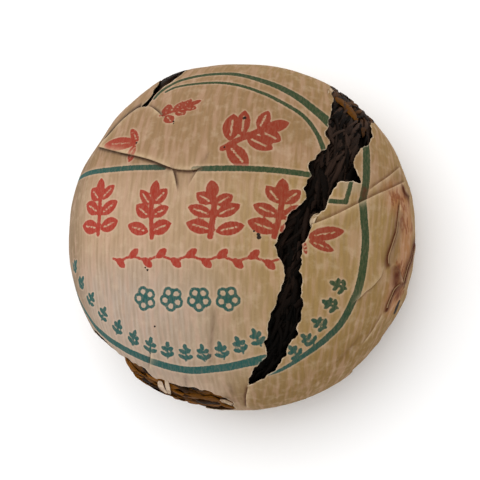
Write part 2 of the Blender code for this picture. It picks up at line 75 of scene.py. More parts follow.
# The twist of gathered paper that hangs in the hollow, as radius and height
TWIST_PROFILE = [(7.5, 23.8), (4.6, 22.0), (3.8, 18.5), (5.3, 15.0), (4.6, 12.9), (2.0, 12.2)]
TWIST_TURNS = 0.12
TWIST_RIDGE = 0.6
TWIST_RIDGES = 5
TWIST_FADE = (1.0, 4.0)
TWIST_GAP = 1.0
TWIST_SPACING = 0.1

# Spacings of the sheet's points: reach along the paper, and spacing up to there
SHEET_SPACINGS = [(45.0, 0.5), (58.0, 0.72), (70.0, 1.0), (999.0, 1.3)]
TEA_SPACINGS = [(60.0, 0.8), (999.0, 2.0)]
EDGE_SPACING = 0.3
FOLD_SPACING = 0.4
PLEAT_SPACING = 0.8
ROW_CLEAR = 0.27

# The share of a stretch that a smooth curve steps on by, small measures that tell places
# apart, and the rings that close the sheet and the core
CURVE_STEP = 0.05
TINY = 1e-6
SAME_PLACE = 1e-4
LEAST_RADIUS = 1e-3
END_MARGIN = 0.3
END_SIDES = 30
CORE_END_SIDES = 24

# The long tear: its left and its right edge, both from the foot of the print up
TEAR_LEFT = [(6.9, -41.6), (7.1, -41.0), (7.7, -39.6), (8.5, -37.6), (9.8, -35.4), (12.2, -31.2),
             (12.3, -27.5), (13.6, -22.2), (15.6, -15.8), (16.1, -11.5), (14.5, -6.9), (15.6, -3.6),
             (16.7, 0.2), (20.0, 4.9), (20.3, 8.7), (21.8, 13.6), (24.6, 17.6), (24.2, 21.1),
             (24.5, 25.2), (25.3, 30.1), (25.3, 36.5), (25.9, 42.5), (27.5, 50.5)]
TEAR_RIGHT = [(7.4, -41.2), (8.9, -39.8), (10.6, -38.8), (12.6, -37.0), (15.4, -34.6), (16.3, -32.2),
              (19.1, -26.4), (20.6, -19.4), (19.6, -12.2), (20.6, -5.8), (21.9, -1.4), (24.8, 3.4),
              (26.8, 8.3), (29.4, 9.8), (32.6, 9.9), (31.2, 14.1), (32.4, 17.2), (35.0, 20.8),
              (36.5, 24.6), (37.2, 28.4), (37.8, 31.6), (40.6, 35.6), (42.2, 41.0), (40.5, 47.0),
              (34.5, 51.5)]

# The narrow slit at the upper left and the lost strip along the lower left
SLIT = [(-21.3, 29.0), (-20.4, 31.3), (-19.5, 33.6), (-17.6, 35.8), (-15.8, 37.5), (-14.4, 39.3),
        (-15.2, 41.8), (-14.4, 46.5), (-15.5, 51.5), (-19.0, 54.0), (-23.5, 50.5), (-24.2, 44.5),
        (-21.8, 39.2), (-21.2, 36.0), (-21.3, 33.4), (-21.9, 31.6), (-22.8, 30.3), (-22.3, 29.2)]
LOST_STRIP = [(-38.8, -29.2), (-36.2, -29.3), (-33.2, -30.8), (-30.8, -32.3), (-29.0, -34.4),
              (-26.0, -35.2), (-23.4, -36.4), (-19.8, -37.4), (-18.4, -40.0), (-14.6, -40.6),
              (-10.4, -42.0), (-5.4, -42.8), (-1.4, -45.0), (1.8, -50.0), (0.5, -57.0), (-5.0, -60.5),
              (-10.0, -59.5), (-14.0, -63.0), (-19.0, -60.5), (-25.0, -59.5), (-32.0, -58.5),
              (-39.0, -54.5), (-44.5, -48.0), (-46.5, -41.0), (-44.0, -32.6)]
OUTLINE_SEEDS = (3, 5, 7)
SOLID_EDGE_SPACING = 1.9
RAGGED = 0.35
FINE_RAGGED = [(0.42, 2.4), (0.3, 1.1), (0.14, 0.5)]
FINE_SHARES = (1.0, 0.35, 0.9)
EDGE_LIFT = 0.7
LIFT_REACH = 3.5
LIFT_WAVES = 3.0
LIFT_FADE = (39.0, 47.0)
LIFT_SHARES = (1.0, 0.2, 1.0)

# The corner of paper that stands up beside the tear
FLAP = (29.5, 5.0)
FLAP_LIFT = 1.1
FLAP_REACH = 5.5

# Folds: where the paper steps down to its neighbour, on the right of the path. Each has
# its step at both ends, how far the upper layer laps over the lower one, how far back it
# stays raised, and how strong the painted shade below it and the painted highlight on its crest are.
FOLDS = {
    "upper_left": ([(-37.0, 21.4), (-32.0, 19.0), (-26.1, 16.7), (-22.0, 15.4), (-16.9, 13.8),
                    (-13.0, 12.2), (-10.5, 11.2), (-8.0, 10.8), (-5.2, 10.8), (-2.6, 11.8)],
                   (0.4, 0.65), 0.35, 6.0, 0.9),
    "shoulder": ([(-21.0, 29.2), (-24.6, 28.2), (-28.4, 25.4), (-31.6, 22.0), (-35.4, 19.0)],
                 (0.45, 0.35), 0.3, 2.6, 1.0),
    "slit_side": ([(-14.8, 23.6), (-16.3, 25.3), (-19.1, 27.7), (-22.0, 29.6)], (0.35, 0.35), 0.2, 4.0, 0.7),
    "right_band": ([(50.6, 16.6), (46.1, 13.2), (41.2, 9.8), (37.1, 7.2), (32.3, 4.1), (28.1, 1.4),
                    (24.5, -0.6), (20.0, -2.6)], (0.55, 0.45), 0.3, 5.0, 0.5),
    "right_band_top": ([(48.8, 21.0), (45.8, 18.0), (41.3, 13.5), (38.6, 11.1), (36.2, 9.0), (34.4, 7.2)],
                       (0.4, 0.35), 0.25, 3.0, 0.5),
    "right_pleat_low": ([(32.4, -19.6), (35.4, -16.2), (37.3, -14.7), (39.6, -12.0), (40.8, -9.6)],
                        (0.4, 0.6), 0.3, 3.5, 0.5),
    "right_pleat_high": ([(45.9, 9.4), (45.4, 4.4), (45.0, 0.0), (44.0, -2.8), (42.9, -5.7), (42.4, -7.7),
                          (42.9, -9.4), (43.6, -10.8)], (0.3, 0.6), 0.35, 3.0, 0.95),
    "right_corner": ([(46.6, 15.0), (46.9, 13.0), (47.7, 11.8), (50.3, 11.8), (53.5, 12.8)],
                     (0.3, 0.4), 0.25, 2.4, 0.9),
    "right_tuck": ([(50.6, -13.6), (46.8, -15.5), (45.8, -17.8), (45.2, -19.8), (45.2, -21.4),
                    (45.4, -23.8)], (0.4, 0.45), 0.3, 2.0, 0.95),
    "right_gusset": ([(53.5, -16.4), (50.9, -14.8), (49.0, -13.2), (47.0, -11.2), (45.2, -8.6)],
                     (0.4, 0.4), 0.3, 1.6, 0.95),
    "right_edge": ([(61.8, 0.4), (58.0, -3.4), (56.2, -6.2), (52.9, -9.6), (51.6, -12.5), (51.6, -14.4),
                    (52.2, -17.5)], (0.1, 0.5), 0.35, 2.2, 0.95),
    "right_long": ([(44.2, -21.4), (42.8, -25.0), (40.9, -28.6), (38.2, -32.8)],
                   (0.2, 0.15), 0.15, 2.0, 0.35),
    "lower_crease": ([(7.7, -39.2), (7.3, -42.4), (6.5, -46.0), (5.6, -54.0)],
                     (0.35, 0.45), 0.25, 3.0, 0.8),
    "pocket_left": ([(-9.0, 4.8), (-9.6, 6.8), (-10.3, 9.2), (-11.6, 12.6)], (0.3, 0.4), 0.15, 2.4, 0.9),
    "pocket_right": ([(-3.6, 12.2), (-4.6, 10.0), (-5.6, 8.2), (-6.6, 6.2)], (0.25, 0.2), 0.1, 2.4, 0.5),
    "lower_left_crease": ([(-16.0, -31.0), (-16.8, -33.6), (-18.8, -38.2)], (0.2, 0.25), 0.1, 2.4, 0.5),
}
# Shades in and beside the folds: path, reach and darkness
SHADES = [([(45.6, 6.0), (44.8, 0.0), (43.6, -4.0), (42.4, -9.0)], 2.4, 0.4),
          ([(45.0, 3.0), (44.0, -2.0), (42.3, -6.0), (41.8, -8.4), (42.8, -10.4)], 1.1, 0.85),
          ([(45.4, -8.8), (45.8, -11.1), (46.2, -12.8), (46.8, -15.2)], 2.0, 0.95),
          ([(62.0, 1.0), (57.6, -3.6), (55.8, -6.3), (52.6, -9.6), (51.4, -12.5), (51.4, -15.0)], 2.2, 1.0),
          ([(51.2, -14.0), (46.6, -16.2), (45.6, -18.2), (45.1, -20.2), (45.2, -23.0)], 1.25, 0.95),
          ([(46.8, 13.6), (47.2, 11.9), (48.4, 11.2), (52.4, 11.4)], 1.0, 0.9),
          ([(49.8, -15.8), (49.4, -17.6), (49.8, -19.8)], 1.7, 0.6),
          ([(50.0, 18.8), (45.5, 15.4), (41.2, 11.4), (37.5, 8.4)], 2.0, 0.18),
          ([(34.5, 9.2), (33.8, 7.2), (33.4, 5.6)], 0.9, 0.75),
          ([(-22.8, 30.2), (-26.9, 28.4), (-30.6, 25.4), (-34.2, 21.8)], 1.1, 0.85)]
SHADE_TAPER = 0.9
FOLD_DROP = 0.28
FOLD_TAPER = 3.2
TUCK_REACH = 1.1
# Painted shade below a fold: its soft reach, its dark line's width and that line's share, and the dents'
# extra darkness
FOLD_SHADE = 1.3
FOLD_LINE = 0.3
LINE_SHARE = 0.65
DENT_SHADE = 0.3
FOLD_SHOULDER = 0.35
TAPER_SHARE = 0.45
# Width of the painted highlight on a crest
CREST_HIGHLIGHT_WIDTH = 0.5

# Soft creases that dent the sheet, with painted shade along them: path, depth and half width
DENTS = [
    ([(0.8, -20.0), (0.3, -23.5), (-0.7, -29.6), (-1.4, -36.0)], 0.16, 0.5),
    ([(-2.0, 15.6), (-3.0, 13.4), (-4.0, 11.2)], 0.14, 0.35),
    ([(30.0, -37.0), (34.0, -32.6), (38.0, -27.0)], 0.14, 0.5),
    ([(-30.6, 24.6), (-26.8, 27.4), (-22.6, 29.4)], 0.2, 0.4),
    ([(-9.6, -44.0), (-8.8, -40.0), (-8.2, -36.5)], 0.14, 0.5),
    ([(3.2, -47.0), (2.8, -43.0), (3.0, -39.0)], 0.16, 0.6),
]

# Knife pleats that gather the sheet below the waist
PLEATS = 20
PLEAT_START = 58.0
PLEAT_LEAD = 2.0
PLEAT_FULL = 66.0
SKIRT_PLEAT = 0.35
HOLLOW_PLEAT = 1.5
PLEAT_STEP = 0.45
PLEAT_SLACK = 0.3
PLEAT_SWELL = 1.5
PLEAT_LEAST = 0.4
PLEAT_SEED = 11
FOOT_BEND = 6.0

# Where the dome has settled: all round its flank by so much, and in spots more or less,
# each spot with its middle, depth and reach. The bare tea has worn away along one path.
FLANK_SETTLED = 0.35
FLANK_FADE = (34.0, 54.0)
SETTLED = [((0.0, 0.0), 0.25, 20.0), ((-42.5, 26.5), 0.5, 6.0), ((6.0, -62.0), 0.65, 24.0),
           ((52.0, -34.0), 0.6, 26.0), ((58.0, 6.0), 0.4, 20.0), ((5.0, 50.0), 0.35, 9.0),
           ((-20.0, 43.0), -0.9, 9.0), ((-36.0, 33.0), -0.3, 8.0)]
WORN = ([(-32.6, -34.0), (-38.5, -39.5), (-46.0, -46.5)], 2.9, 4.8)

# The sheet's gentle unevenness
UNEVEN = 0.45
WAVES = 6
WAVE_LENGTH = (16.0, 38.0)
WAVE_SEED = 17

# Its crumples, as size and height, the gathers above the pleats and its ribs
CRUMPLES = [(8.0, 0.1), (3.6, 0.055), (1.7, 0.022)]
CRUMPLE_SEED = 50
GATHER = 0.05
GATHER_WIDTH = 3.2
GATHER_DRAWN_OUT = 0.3
GATHER_START = 46.0
GATHER_SEED = 60
RIB_PITCH = 1.3
RIB_HEIGHT = 0.012
RIB_WANDER = 9.0
RIB_SEED = 40
NOISE_CELLS = 64

# The tea: how deep its bare zones lie, the margin round an opening over which they rise to
# the covered tea, and the depth from which the core is rough
BARE_DEPTH = 2.0
BARE_MARGIN = 1.8
BARE_FADE = 7.2
ROUGH_FROM = 1.2

# The core's lumps where it lies bare: height, size, seed and how they are drawn out, then
# how far it is sunk there, and its tone
LUMPS = [(0.35, 1.6, 70, (1.2, 0.5)), (0.2, 0.9, 71, (1.0, 1.0))]
SUNK = 0.3
CORE_TINT = 0.25

# Where the tea is golden: by a share at the tear's top, and fully in the lost strip up to
# its right end, but for a painted shadow along the paper's edge
GOLD_SHARE = 0.35
GOLD_SLANT = 0.55
GOLD_TOP = (46.0, 56.0)
GOLD_STRIP = (34.0, 38.0)
GOLD_END = (3.0, 8.0)
EDGE_SHADOW_MIDDLE = (-7.5, -43.2)
EDGE_SHADOW_REACH = (5.0, 2.0)

# The leaves in the tear, the slit and the lost strip: number, heading and its spread in
# degrees, and the ranges of their lengths and widths
LEAF_GROUPS = [(560, 72.0, 30.0, (4.0, 12.0), (0.6, 1.8)), (60, 105.0, 25.0, (4.0, 9.0), (0.6, 1.6)),
               (260, -22.0, 30.0, (5.0, 12.0), (0.9, 2.4))]
LEAF_THICKNESS = (0.35, 0.8)
LEAF_DEPTH = (1.0, 2.0)
LEAF_BEND = 35.0
LEAF_TWIST = 2.5
LEAF_TILT = 0.35
LEAF_TAPER = 0.45
LEAF_TIP = 0.12
LEAF_WANDER = 0.12
LEAF_RIDGE = 0.28
LEAF_SECTIONS = 11
LEAF_SIDES = 7
LEAF_SEED = 23
LEAF_TRIES = 12
FLANK_RISE = 0.75
LEAF_FLANK = (34.0, 46.0)
COVERED_DEPTH = 0.95
COVERED_FROM = 1.2

# Broad leaves at the rims: middle, heading in degrees, length, width, depth and how golden
BROAD_LEAVES = [((29.8, 34.0), -42.0, 12.0, 3.3, 0.3, 0.9), ((33.6, 36.2), -56.0, 11.0, 4.0, 0.9, 0.5),
                ((35.0, 26.8), 64.0, 4.5, 1.4, 0.5, 0.35), ((-23.5, -37.6), -24.0, 8.0, 3.6, 0.5, 1.0),
                ((-19.6, -40.4), -38.0, 9.0, 3.2, 0.5, 1.0), ((-15.8, -43.4), -12.0, 9.5, 2.9, 0.35, 1.0),
                ((-25.8, -42.0), -44.0, 11.0, 3.0, 0.9, 1.0), ((-17.5, -48.0), -26.0, 11.0, 3.0, 0.8, 0.9),
                ((-10.0, -47.4), 4.0, 10.0, 3.0, 0.4, 0.8), ((-3.2, -48.2), -18.0, 9.0, 3.8, 0.3, 1.0),
                ((-6.5, -52.0), 8.0, 11.0, 3.0, 0.7, 0.9), ((-18.6, 38.6), 62.0, 9.0, 2.6, 0.5, 0.45),
                ((-18.2, 43.0), 68.0, 14.0, 5.0, 0.15, 0.45)]
BROAD_THICKNESS = 0.45

# Shreds of paper left at the torn edges: middle line, width, lift above the dome and curl
SHREDS = [([(-14.4, -40.2), (-14.9, -42.6), (-15.6, -45.0), (-16.4, -47.0)], 1.3, 0.2, 0.4),
          ([(-17.0, -41.6), (-17.6, -44.0), (-17.4, -47.0)], 2.0, 0.1, 0.3),
          ([(-0.9, -47.2), (0.7, -46.6), (2.0, -47.8), (1.8, -49.6)], 1.0, 0.6, 0.5),
          ([(22.4, -2.2), (22.0, -0.9), (22.6, 0.5), (23.8, 1.2)], 1.1, 0.7, 0.5),
          ([(26.0, 39.4), (25.0, 36.8), (24.6, 34.0)], 1.2, 0.3, 0.4)]
SHRED_SIDES = 5
SHRED_SPACING = 0.5

# The print's ring, in the stretches that the tear, the slit and the folds part, each with
# its width at both ends
RINGS = {
    "left": ([(12.0, -32.6), (5.6, -34.5), (-1.5, -36.0), (-8.5, -36.5), (-17.4, -34.6), (-28.3, -31.0),
              (-35.0, -27.8), (-40.1, -23.6), (-46.5, -16.0), (-50.5, -6.0), (-53.0, 6.0),
              (-52.0, 18.0), (-46.0, 30.0), (-38.0, 38.0), (-25.0, 46.0)], (2.05, 1.8)),
    "top": ([(-19.6, 31.2), (-18.5, 33.2), (-16.2, 35.1), (-13.5, 36.9), (-8.9, 38.4), (-3.7, 38.8),
             (1.7, 38.1), (7.0, 36.3), (12.0, 34.1), (16.9, 31.3), (21.0, 28.0), (24.0, 25.3),
             (26.0, 23.4)], (0.9, 2.4)),
    "right_foot": ([(12.6, -37.2), (15.4, -36.2), (17.8, -34.8), (22.7, -31.5), (26.3, -28.6)], (0.8, 1.8)),
    "right_low": ([(26.3, -28.6), (29.8, -24.8), (32.4, -19.7), (34.3, -13.3), (35.0, -6.2), (34.9, -2.7),
                   (33.9, 1.9), (33.3, 4.9)], (1.8, 2.1)),
    "right_high": ([(33.4, 5.4), (33.9, 7.5), (34.3, 9.5), (34.6, 12.2), (34.7, 15.0), (34.6, 18.4),
                    (34.0, 22.0)], (1.9, 2.2)),
}

# Its finer lines: the arc inside the ring, the line across and the frame's corner, and the
# spacing of the points on a smooth line
ARC = [(-16.7, 32.9), (-14.5, 34.0), (-10.6, 34.8), (-5.3, 34.9), (-0.1, 34.3), (5.1, 32.7), (10.7, 30.3),
       (16.7, 27.0), (19.3, 24.9), (21.6, 21.8), (23.2, 18.6), (24.2, 15.2)]
ARC_WIDTHS = (0.75, 1.15)
CHORDS = [[(-46.0, 13.6), (-39.2, 13.0), (-33.1, 12.3), (-27.8, 11.9), (-21.9, 11.7), (-12.9, 11.3)],
          [(-5.4, 10.7), (2.9, 10.9), (12.0, 10.8), (19.9, 10.2), (22.0, 9.9)]]
CHORD_WIDTH = 1.35
CORNER = [(24.0, 4.2), (27.4, 4.2), (29.3, 4.3), (29.6, 5.8), (30.1, 7.6), (30.6, 10.0)]
CORNER_WIDTH = 1.05
LINE_SPACING = 1.0

# The red shoots: middle, turn in degrees, height and breadth against 13 mm, and seed. Their
# leaves stand in pairs, each with the ranges of its heading, length and width.
SHOOTS = [((-29.8, 3.0), 2, 1.02, 0.96, 2), ((-15.2, 1.4), -3, 0.98, 0.92, 9),
          ((-0.2, 1.4), 3, 0.96, 1.16, 14), ((15.0, 1.9), -4, 1.0, 1.1, 21),
          ((-11.2, 26.7), -68, 0.8, 0.6, 33), ((7.6, 19.9), -64, 1.22, 0.95, 41)]
SHOOT_PAIRS = 3
SHOOT_PITCH = 3.2
SHOOT_HEADING = (10, 28)
SHOOT_LENGTH = (5.7, 6.7)
SHOOT_WIDTH = (2.9, 3.6)
SHOOT_VEIN = 0.42
SHOOT_STEM = 1.2
SHOOT_SPACING = 0.8
SHOOT_BUD = 2.7
SHOOT_REACH = 11.0

# Single red leaves, at the upper left's fold and right of the tear: root, tip and width
RED_LEAVES = [((-21.0, 18.0), (-31.8, 19.5), 3.6), ((-20.8, 18.4), (-24.0, 22.6), 1.9),
              ((-21.4, 17.6), (-22.6, 13.2), 2.2), ((21.0, -4.3), (29.6, -2.3), 3.0),
              ((21.4, -5.0), (27.4, -7.1), 2.1), ((20.1, -4.6), (21.1, -8.4), 1.2)]
RED_VEIN = 0.35

# The vine of small red leaves: from, to and height, then its leaves and its stem
VINE = (-24.2, 15.0, -9.8)
VINE_PITCH = 3.6
VINE_WAVE = 0.4
VINE_RISE = 2.1
VINE_LEAN = 2.4
VINE_LEAF = 1.8
VINE_STEM = 0.6
VINE_SPACING = 0.6

# Green flowers, and the sprigs of the garland inside the ring, each row in its order
FLOWERS = [(-16.5, -19.1), (-9.7, -19.1), (-3.1, -19.0), (3.6, -18.8)]
FLOWER_RADIUS = 2.75
FLOWER_LINE = 0.68
FLOWER_REACH = 5.0
PETALS = 5
GARLANDS = [[(-41.2, -11.1), (-38.0, -15.4), (-34.2, -19.6), (-30.1, -23.2), (-25.6, -26.4),
             (-21.0, -28.9), (-16.4, -30.5), (-11.9, -31.5), (-7.3, -32.0), (-2.8, -31.8),
             (1.7, -31.0), (6.1, -29.6), (10.2, -27.6)],
            [(19.0, -31.2), (22.2, -28.2), (24.8, -24.2), (27.2, -19.6), (28.9, -15.0)]]
SPRIG_SIZE = 1.14
SPRIG_STEM = 0.5
SPRIG_LEAF = 0.95
SPRIG_REACH = 4.0

# Faded rust marks on the pleats and the stain round them, small holes and splits, and the
# painted highlight on the raised corner beside the tear
RUST_SPOTS = [(42.4, 8.8), (44.2, 9.4), (43.2, 7.2), (45.2, 8.0), (48.4, 9.4), (48.2, 7.0), (51.4, 9.0),
              (45.8, 2.6), (47.8, 3.2), (50.4, 3.0), (54.8, 3.4), (46.8, 0.6), (50.0, 0.6), (54.0, 1.6),
              (46.8, -9.4), (49.0, -10.0), (48.0, -12.8), (47.4, -16.6), (49.4, -16.8), (53.0, -17.0),
              (48.8, -18.6), (51.4, -18.6)]
RUST_STROKES = 4
STAIN = [(44.0, 9.0), (48.6, 7.0), (51.0, 2.0), (51.0, -6.0), (48.0, -14.0), (48.0, -19.0)]
STAIN_HALF = 2.0
HOLES = [((10.3, -4.8), 0.48), ((10.2, -4.2), 0.42), ((52.4, -20.8), 1.2), ((52.2, -22.2), 1.5),
         ((52.0, -23.6), 1.1), ((9.2, -3.4), 0.22), ((1.1, 16.0), 0.22), ((5.0, 23.7), 0.42),
         ((-21.2, 18.2), 0.26), ((-15.7, -12.5), 0.26), ((-16.3, -12.0), 0.18),
         ((-14.4, -25.6), 0.24), ((-12.3, 23.2), 0.24), ((-12.2, 22.6), 0.18)]
CORNER_HIGHLIGHT = [(29.2, 8.0), (32.0, 8.8)]
CORNER_HIGHLIGHT_REACH = 2.8
FAR = 5.0
MARK_SEED = 29

# The inks, each with its attribute's name and its tones from the lower left to the right
INKS = [("red", (148, 42, 30), (124, 42, 22)), ("green", (20, 74, 70), (34, 55, 28))]

# The camera looks down steeply, from a little below the print's upright
CAMERA_TILT = 16.0
CAMERA_AZIMUTH = -37.0
CAMERA_TURN = 3.0
CAMERA_DISTANCE = 450.0
CAMERA_TARGET = (0.0, 0.0, 20.0)
IMAGE_SIZE = 480
FOCAL_PIXELS = 1897.7
PRINCIPAL_PIXEL = (237.4, 233.5)
SENSOR = 36.0

# The lights, each with its place, size and power, and the floor, in metres
WORLD_LIGHT = 0.98
LIGHTS = {"key": ((-0.14, 0.34, 0.76), 0.8, 2.6), "side": ((-0.55, 0.05, 0.42), 0.5, 0.7)}
LIGHT_TARGET = (0.0, 0.0, 0.02)
FLOOR_HALF = 1.5


def superellipse(centre, radii, start, end, power, count=400):
    """Points of a superellipse about centre, from the angle start to end, in degrees."""
    turn = np.radians(np.linspace(start, end, count))
    across = np.sign(np.cos(turn)) * np.abs(np.cos(turn)) ** (2 / power)
    up = np.sign(np.sin(turn)) * np.abs(np.sin(turn)) ** (2 / power)
    return np.column_stack([centre[0] + radii[0] * across, centre[1] + radii[1] * up])


def running(steps):
    """0 and then the running total of steps."""
    return np.concatenate([[0.0], np.cumsum(steps)])


def step_lengths(points):
    """The distance from each point to the next one."""
    return np.hypot(*np.diff(points, axis=0).T)


def smooth_path(points, spacing, closed=False):
    """A Catmull-Rom curve through points, as points about spacing apart."""
    given = np.array(points, dtype=float)
    if closed:
        padded = np.vstack([given[-1:], given, given[:2]])
    else:
        padded = np.vstack([2 * given[0] - given[1], given, 2 * given[-1] - given[-2]])
    dense = []
    for before, first, second, after in zip(padded, padded[1:], padded[2:], padded[3:]):
        for step in np.arange(0.0, 1.0, CURVE_STEP):
            bend = (2 * before - 5 * first + 4 * second - after) * step ** 2
            swing = (3 * first - before - 3 * second + after) * step ** 3
            dense.append(0.5 * (2 * first + (second - before) * step + bend + swing))
    dense = np.array(dense + [padded[-2]])
    run = running(step_lengths(dense))
    marks = np.linspace(0.0, run[-1], max(2, round(run[-1] / spacing)) + 1)
    path = np.column_stack([np.interp(marks, run, column) for column in dense.T])
    return path[:-1] if closed else path


def ease(value, start, end):
    """0 before start, 1 after end, and a smooth rise between them."""
    part = np.clip((value - start) / (end - start), 0.0, 1.0)
    return part * part * (3 - 2 * part)


def spot(u, v, centre, reach):
    """1 at a centre, and less and less away from it."""
    return np.exp(-((u - centre[0]) ** 2 + (v - centre[1]) ** 2) / reach ** 2)


def polar(u, v):
    """How far from the top places lie, and in which direction."""
    return np.hypot(u, v), np.arctan2(v, u)


def around(distance, turn):
    """Places back from their distance and their direction."""
    return distance * np.cos(turn), distance * np.sin(turn)


class Meridian:
    """The wrapped dome's profile by distance s from the top."""

    def __init__(self):
        crown = superellipse((0, WAIST_HEIGHT), (RADIUS, HEIGHT - WAIST_HEIGHT), 90, 0, CROWN_POWER)
        skirt = superellipse((FOOT_OUTER, WAIST_HEIGHT), (RADIUS - FOOT_OUTER, WAIST_HEIGHT),
                             0, -90, SKIRT_POWER)
        lip = superellipse((FOOT_INNER, LIP_RADIUS), (LIP_RADIUS, LIP_RADIUS), -90, -180, 2)
        hollow = superellipse((0, LIP_RADIUS), (FOOT_INNER - LIP_RADIUS, HOLLOW_HEIGHT - LIP_RADIUS),
                              0, 90, HOLLOW_POWER)
        hollow = hollow[hollow[:, 0] > TWIST_PROFILE[0][0] + TWIST_GAP]
        twist = smooth_path(TWIST_PROFILE, TWIST_SPACING)
        points = np.vstack([crown, skirt, lip, hollow, twist])
        points = points[np.append(True, step_lengths(points) > SAME_PLACE)]
        self.s = running(step_lengths(points))
        self.r, self.z = points.T
        slope_r = np.gradient(self.r, self.s)
        slope_z = np.gradient(self.z, self.s)
        size = np.hypot(slope_r, slope_z)
        self.out_r = -slope_z / size
        self.out_z = slope_r / size
        self.foot_start = self.s[(self.z < WAIST_HEIGHT) & (self.r <= FOOT_OUTER + TINY)][0]
        self.foot_end = self.foot_start + FOOT_OUTER - FOOT_INNER
        self.hollow_start = self.foot_end + LIP_RADIUS * math.pi / 2
        self.twist_start = self.s[len(self.s) - len(twist)]
        self.end = self.s[-1]
        total = running(np.diff(self.s) / np.maximum((self.r[1:] + self.r[:-1]) / 2, LEAST_RADIUS))
        self.log_scale = total - np.interp(1.0, self.s, total)

    def radius(self, s):
        return np.interp(s, self.s, self.r)

    def height(self, s):
        return np.interp(s, self.s, self.z)

    def place(self, u, v, height):
        """Points of the sheet's outer face, raised by height, in the object's frame."""
        s, turn = polar(u, v)
        fade = foot_fade(s)
        for centre, depth, reach in SETTLED:
            height = height - depth * fade * spot(u, v, centre, reach)
        r = self.radius(s) + height * np.interp(s, self.s, self.out_r)
        z = self.height(s) + height * np.interp(s, self.s, self.out_z)
        return np.column_stack([*around(r, turn), z])

    def place_lining(self, u, v, height):
        """Points of the sheet's inner face. It closes straight across above the twist."""
        s, turn = polar(u, v)
        across = np.clip((self.end - s) / (self.end - self.twist_start), 0.0, 1.0)
        roof_height = np.full(len(s), self.height(self.twist_start) + SOLID_PAPER)
        roof = np.column_stack([*around(self.radius(self.twist_start) * across, turn), roof_height])
        return np.where((s >= self.twist_start)[:, None], roof, self.place(u, v, height - PAPER))

    def to_map(self, u, v):
        """Paper places on the flat map that keeps angles true."""
        s, turn = polar(u, v)
        radius = np.where(s < 1.0, s, np.exp(np.interp(s, self.s, self.log_scale)))
        return np.column_stack(around(radius, turn))

    def from_map(self, points):
        """Paper places back from the flat map."""
        radius, turn = polar(*points.T)
        s = np.interp(np.log(np.maximum(radius, TINY)), self.log_scale, self.s)
        return around(np.where(radius < 1.0, radius, s), turn)


MERIDIAN = Meridian()


def noise(u, v, size, seed):
    """Smooth random values between -1 and 1, with bumps about size across."""
    table = np.random.default_rng(seed).uniform(-1, 1, (NOISE_CELLS, NOISE_CELLS))
    column = np.floor(u / size).astype(int)
    row = np.floor(v / size).astype(int)
    across = ease(u / size - column, 0, 1)
    up = ease(v / size - row, 0, 1)
    corners = [table[(column + i) % NOISE_CELLS, (row + j) % NOISE_CELLS] for j in (0, 1) for i in (0, 1)]
    low = corners[0] * (1 - across) + corners[1] * across
    high = corners[2] * (1 - across) + corners[3] * across
    return low * (1 - up) + high * up


def to_right(along):
    """Unit vectors that point to the right of the given directions."""
    along = along / np.hypot(along[:, 0], along[:, 1])[:, None]
    return np.column_stack([along[:, 1], -along[:, 0]])


def across_path(path):
    """Unit vectors that point to the right of a path, one for each of its points."""
    return to_right(np.gradient(path, axis=0))


def ragged(points, seed, share):
    """A closed torn outline: a smooth path pushed in and out, finely by that share."""
    dice = random.Random(seed)
    path = smooth_path(points, SOLID_EDGE_SPACING, closed=True)
    push = np.array([dice.uniform(-RAGGED, RAGGED) for _ in path])
    path = path + to_right(np.roll(path, -1, axis=0) - np.roll(path, 1, axis=0)) * push[:, None]
    path = smooth_path(path, EDGE_SPACING, closed=True)
    out = across_path(path)
    for height, size in FINE_RAGGED:
        path = path + out * (share * height * noise(path[:, 0], path[:, 1], size, seed))[:, None]
    return path


def torn_outlines():
    """The three openings in the sheet, each a closed ring of places."""
    rings = (TEAR_RIGHT + TEAR_LEFT[::-1], SLIT, LOST_STRIP)
    return [ragged(*given) for given in zip(rings, OUTLINE_SEEDS, FINE_SHARES)]


def nearest(path, u, v, closed=False):
    """Each place's distance to a path, its side and its share of the way, and the length."""
    starts = path if closed else path[:-1]
    steps = (np.roll(path, -1, axis=0) if closed else path[1:]) - starts
    lengths = np.hypot(steps[:, 0], steps[:, 1])
    passed = running(lengths)
    tree = kdtree.KDTree(len(path))
    for number, place in enumerate(path):
        tree.insert((*place, 0.0), number)
    tree.balance()
    corner = np.array([tree.find(place)[1] for place in zip(u, v, np.zeros(len(u)))], dtype=int)
    best = np.full(len(u), np.inf)
    side = np.ones(len(u))
    run = np.zeros(len(u))
    for shift in (-1, 0):
        piece = (corner + shift) % len(starts) if closed else np.clip(corner + shift, 0, len(starts) - 1)
        du = u - starts[piece, 0]
        dv = v - starts[piece, 1]
        part = np.clip((du * steps[piece, 0] + dv * steps[piece, 1]) / lengths[piece] ** 2, 0.0, 1.0)
        gap = np.hypot(du - part * steps[piece, 0], dv - part * steps[piece, 1])
        nearer = gap < best
        best = np.where(nearer, gap, best)
        side = np.where(nearer, np.sign(steps[piece, 0] * dv - steps[piece, 1] * du), side)
        run = np.where(nearer, passed[piece] + part * lengths[piece], run)
    return best, side, run / passed[-1], passed[-1]


def inside(outline, u, v):
    """True for each place within a closed outline, by counting crossings."""
    found = np.zeros(len(u), dtype=bool)
    for (u1, v1), (u2, v2) in zip(outline, np.roll(outline, -1, axis=0)):
        if v1 == v2:
            continue
        crosses = (v1 > v) != (v2 > v)
        found ^= crosses & (u < u1 + (v - v1) * (u2 - u1) / (v2 - v1))
    return found


def gap_to(outline, u, v):
    """Each place's distance to a closed outline, 0 within it."""
    return np.where(inside(outline, u, v), 0.0, nearest(outline, u, v, closed=True)[0])


def foot_fade(s):
    """1 on the dome and 0 from just above the foot inwards, which keeps the foot flat."""
    return 1 - ease(s, MERIDIAN.foot_start - 2 * FOOT_BEND, MERIDIAN.foot_start - FOOT_BEND / 2)


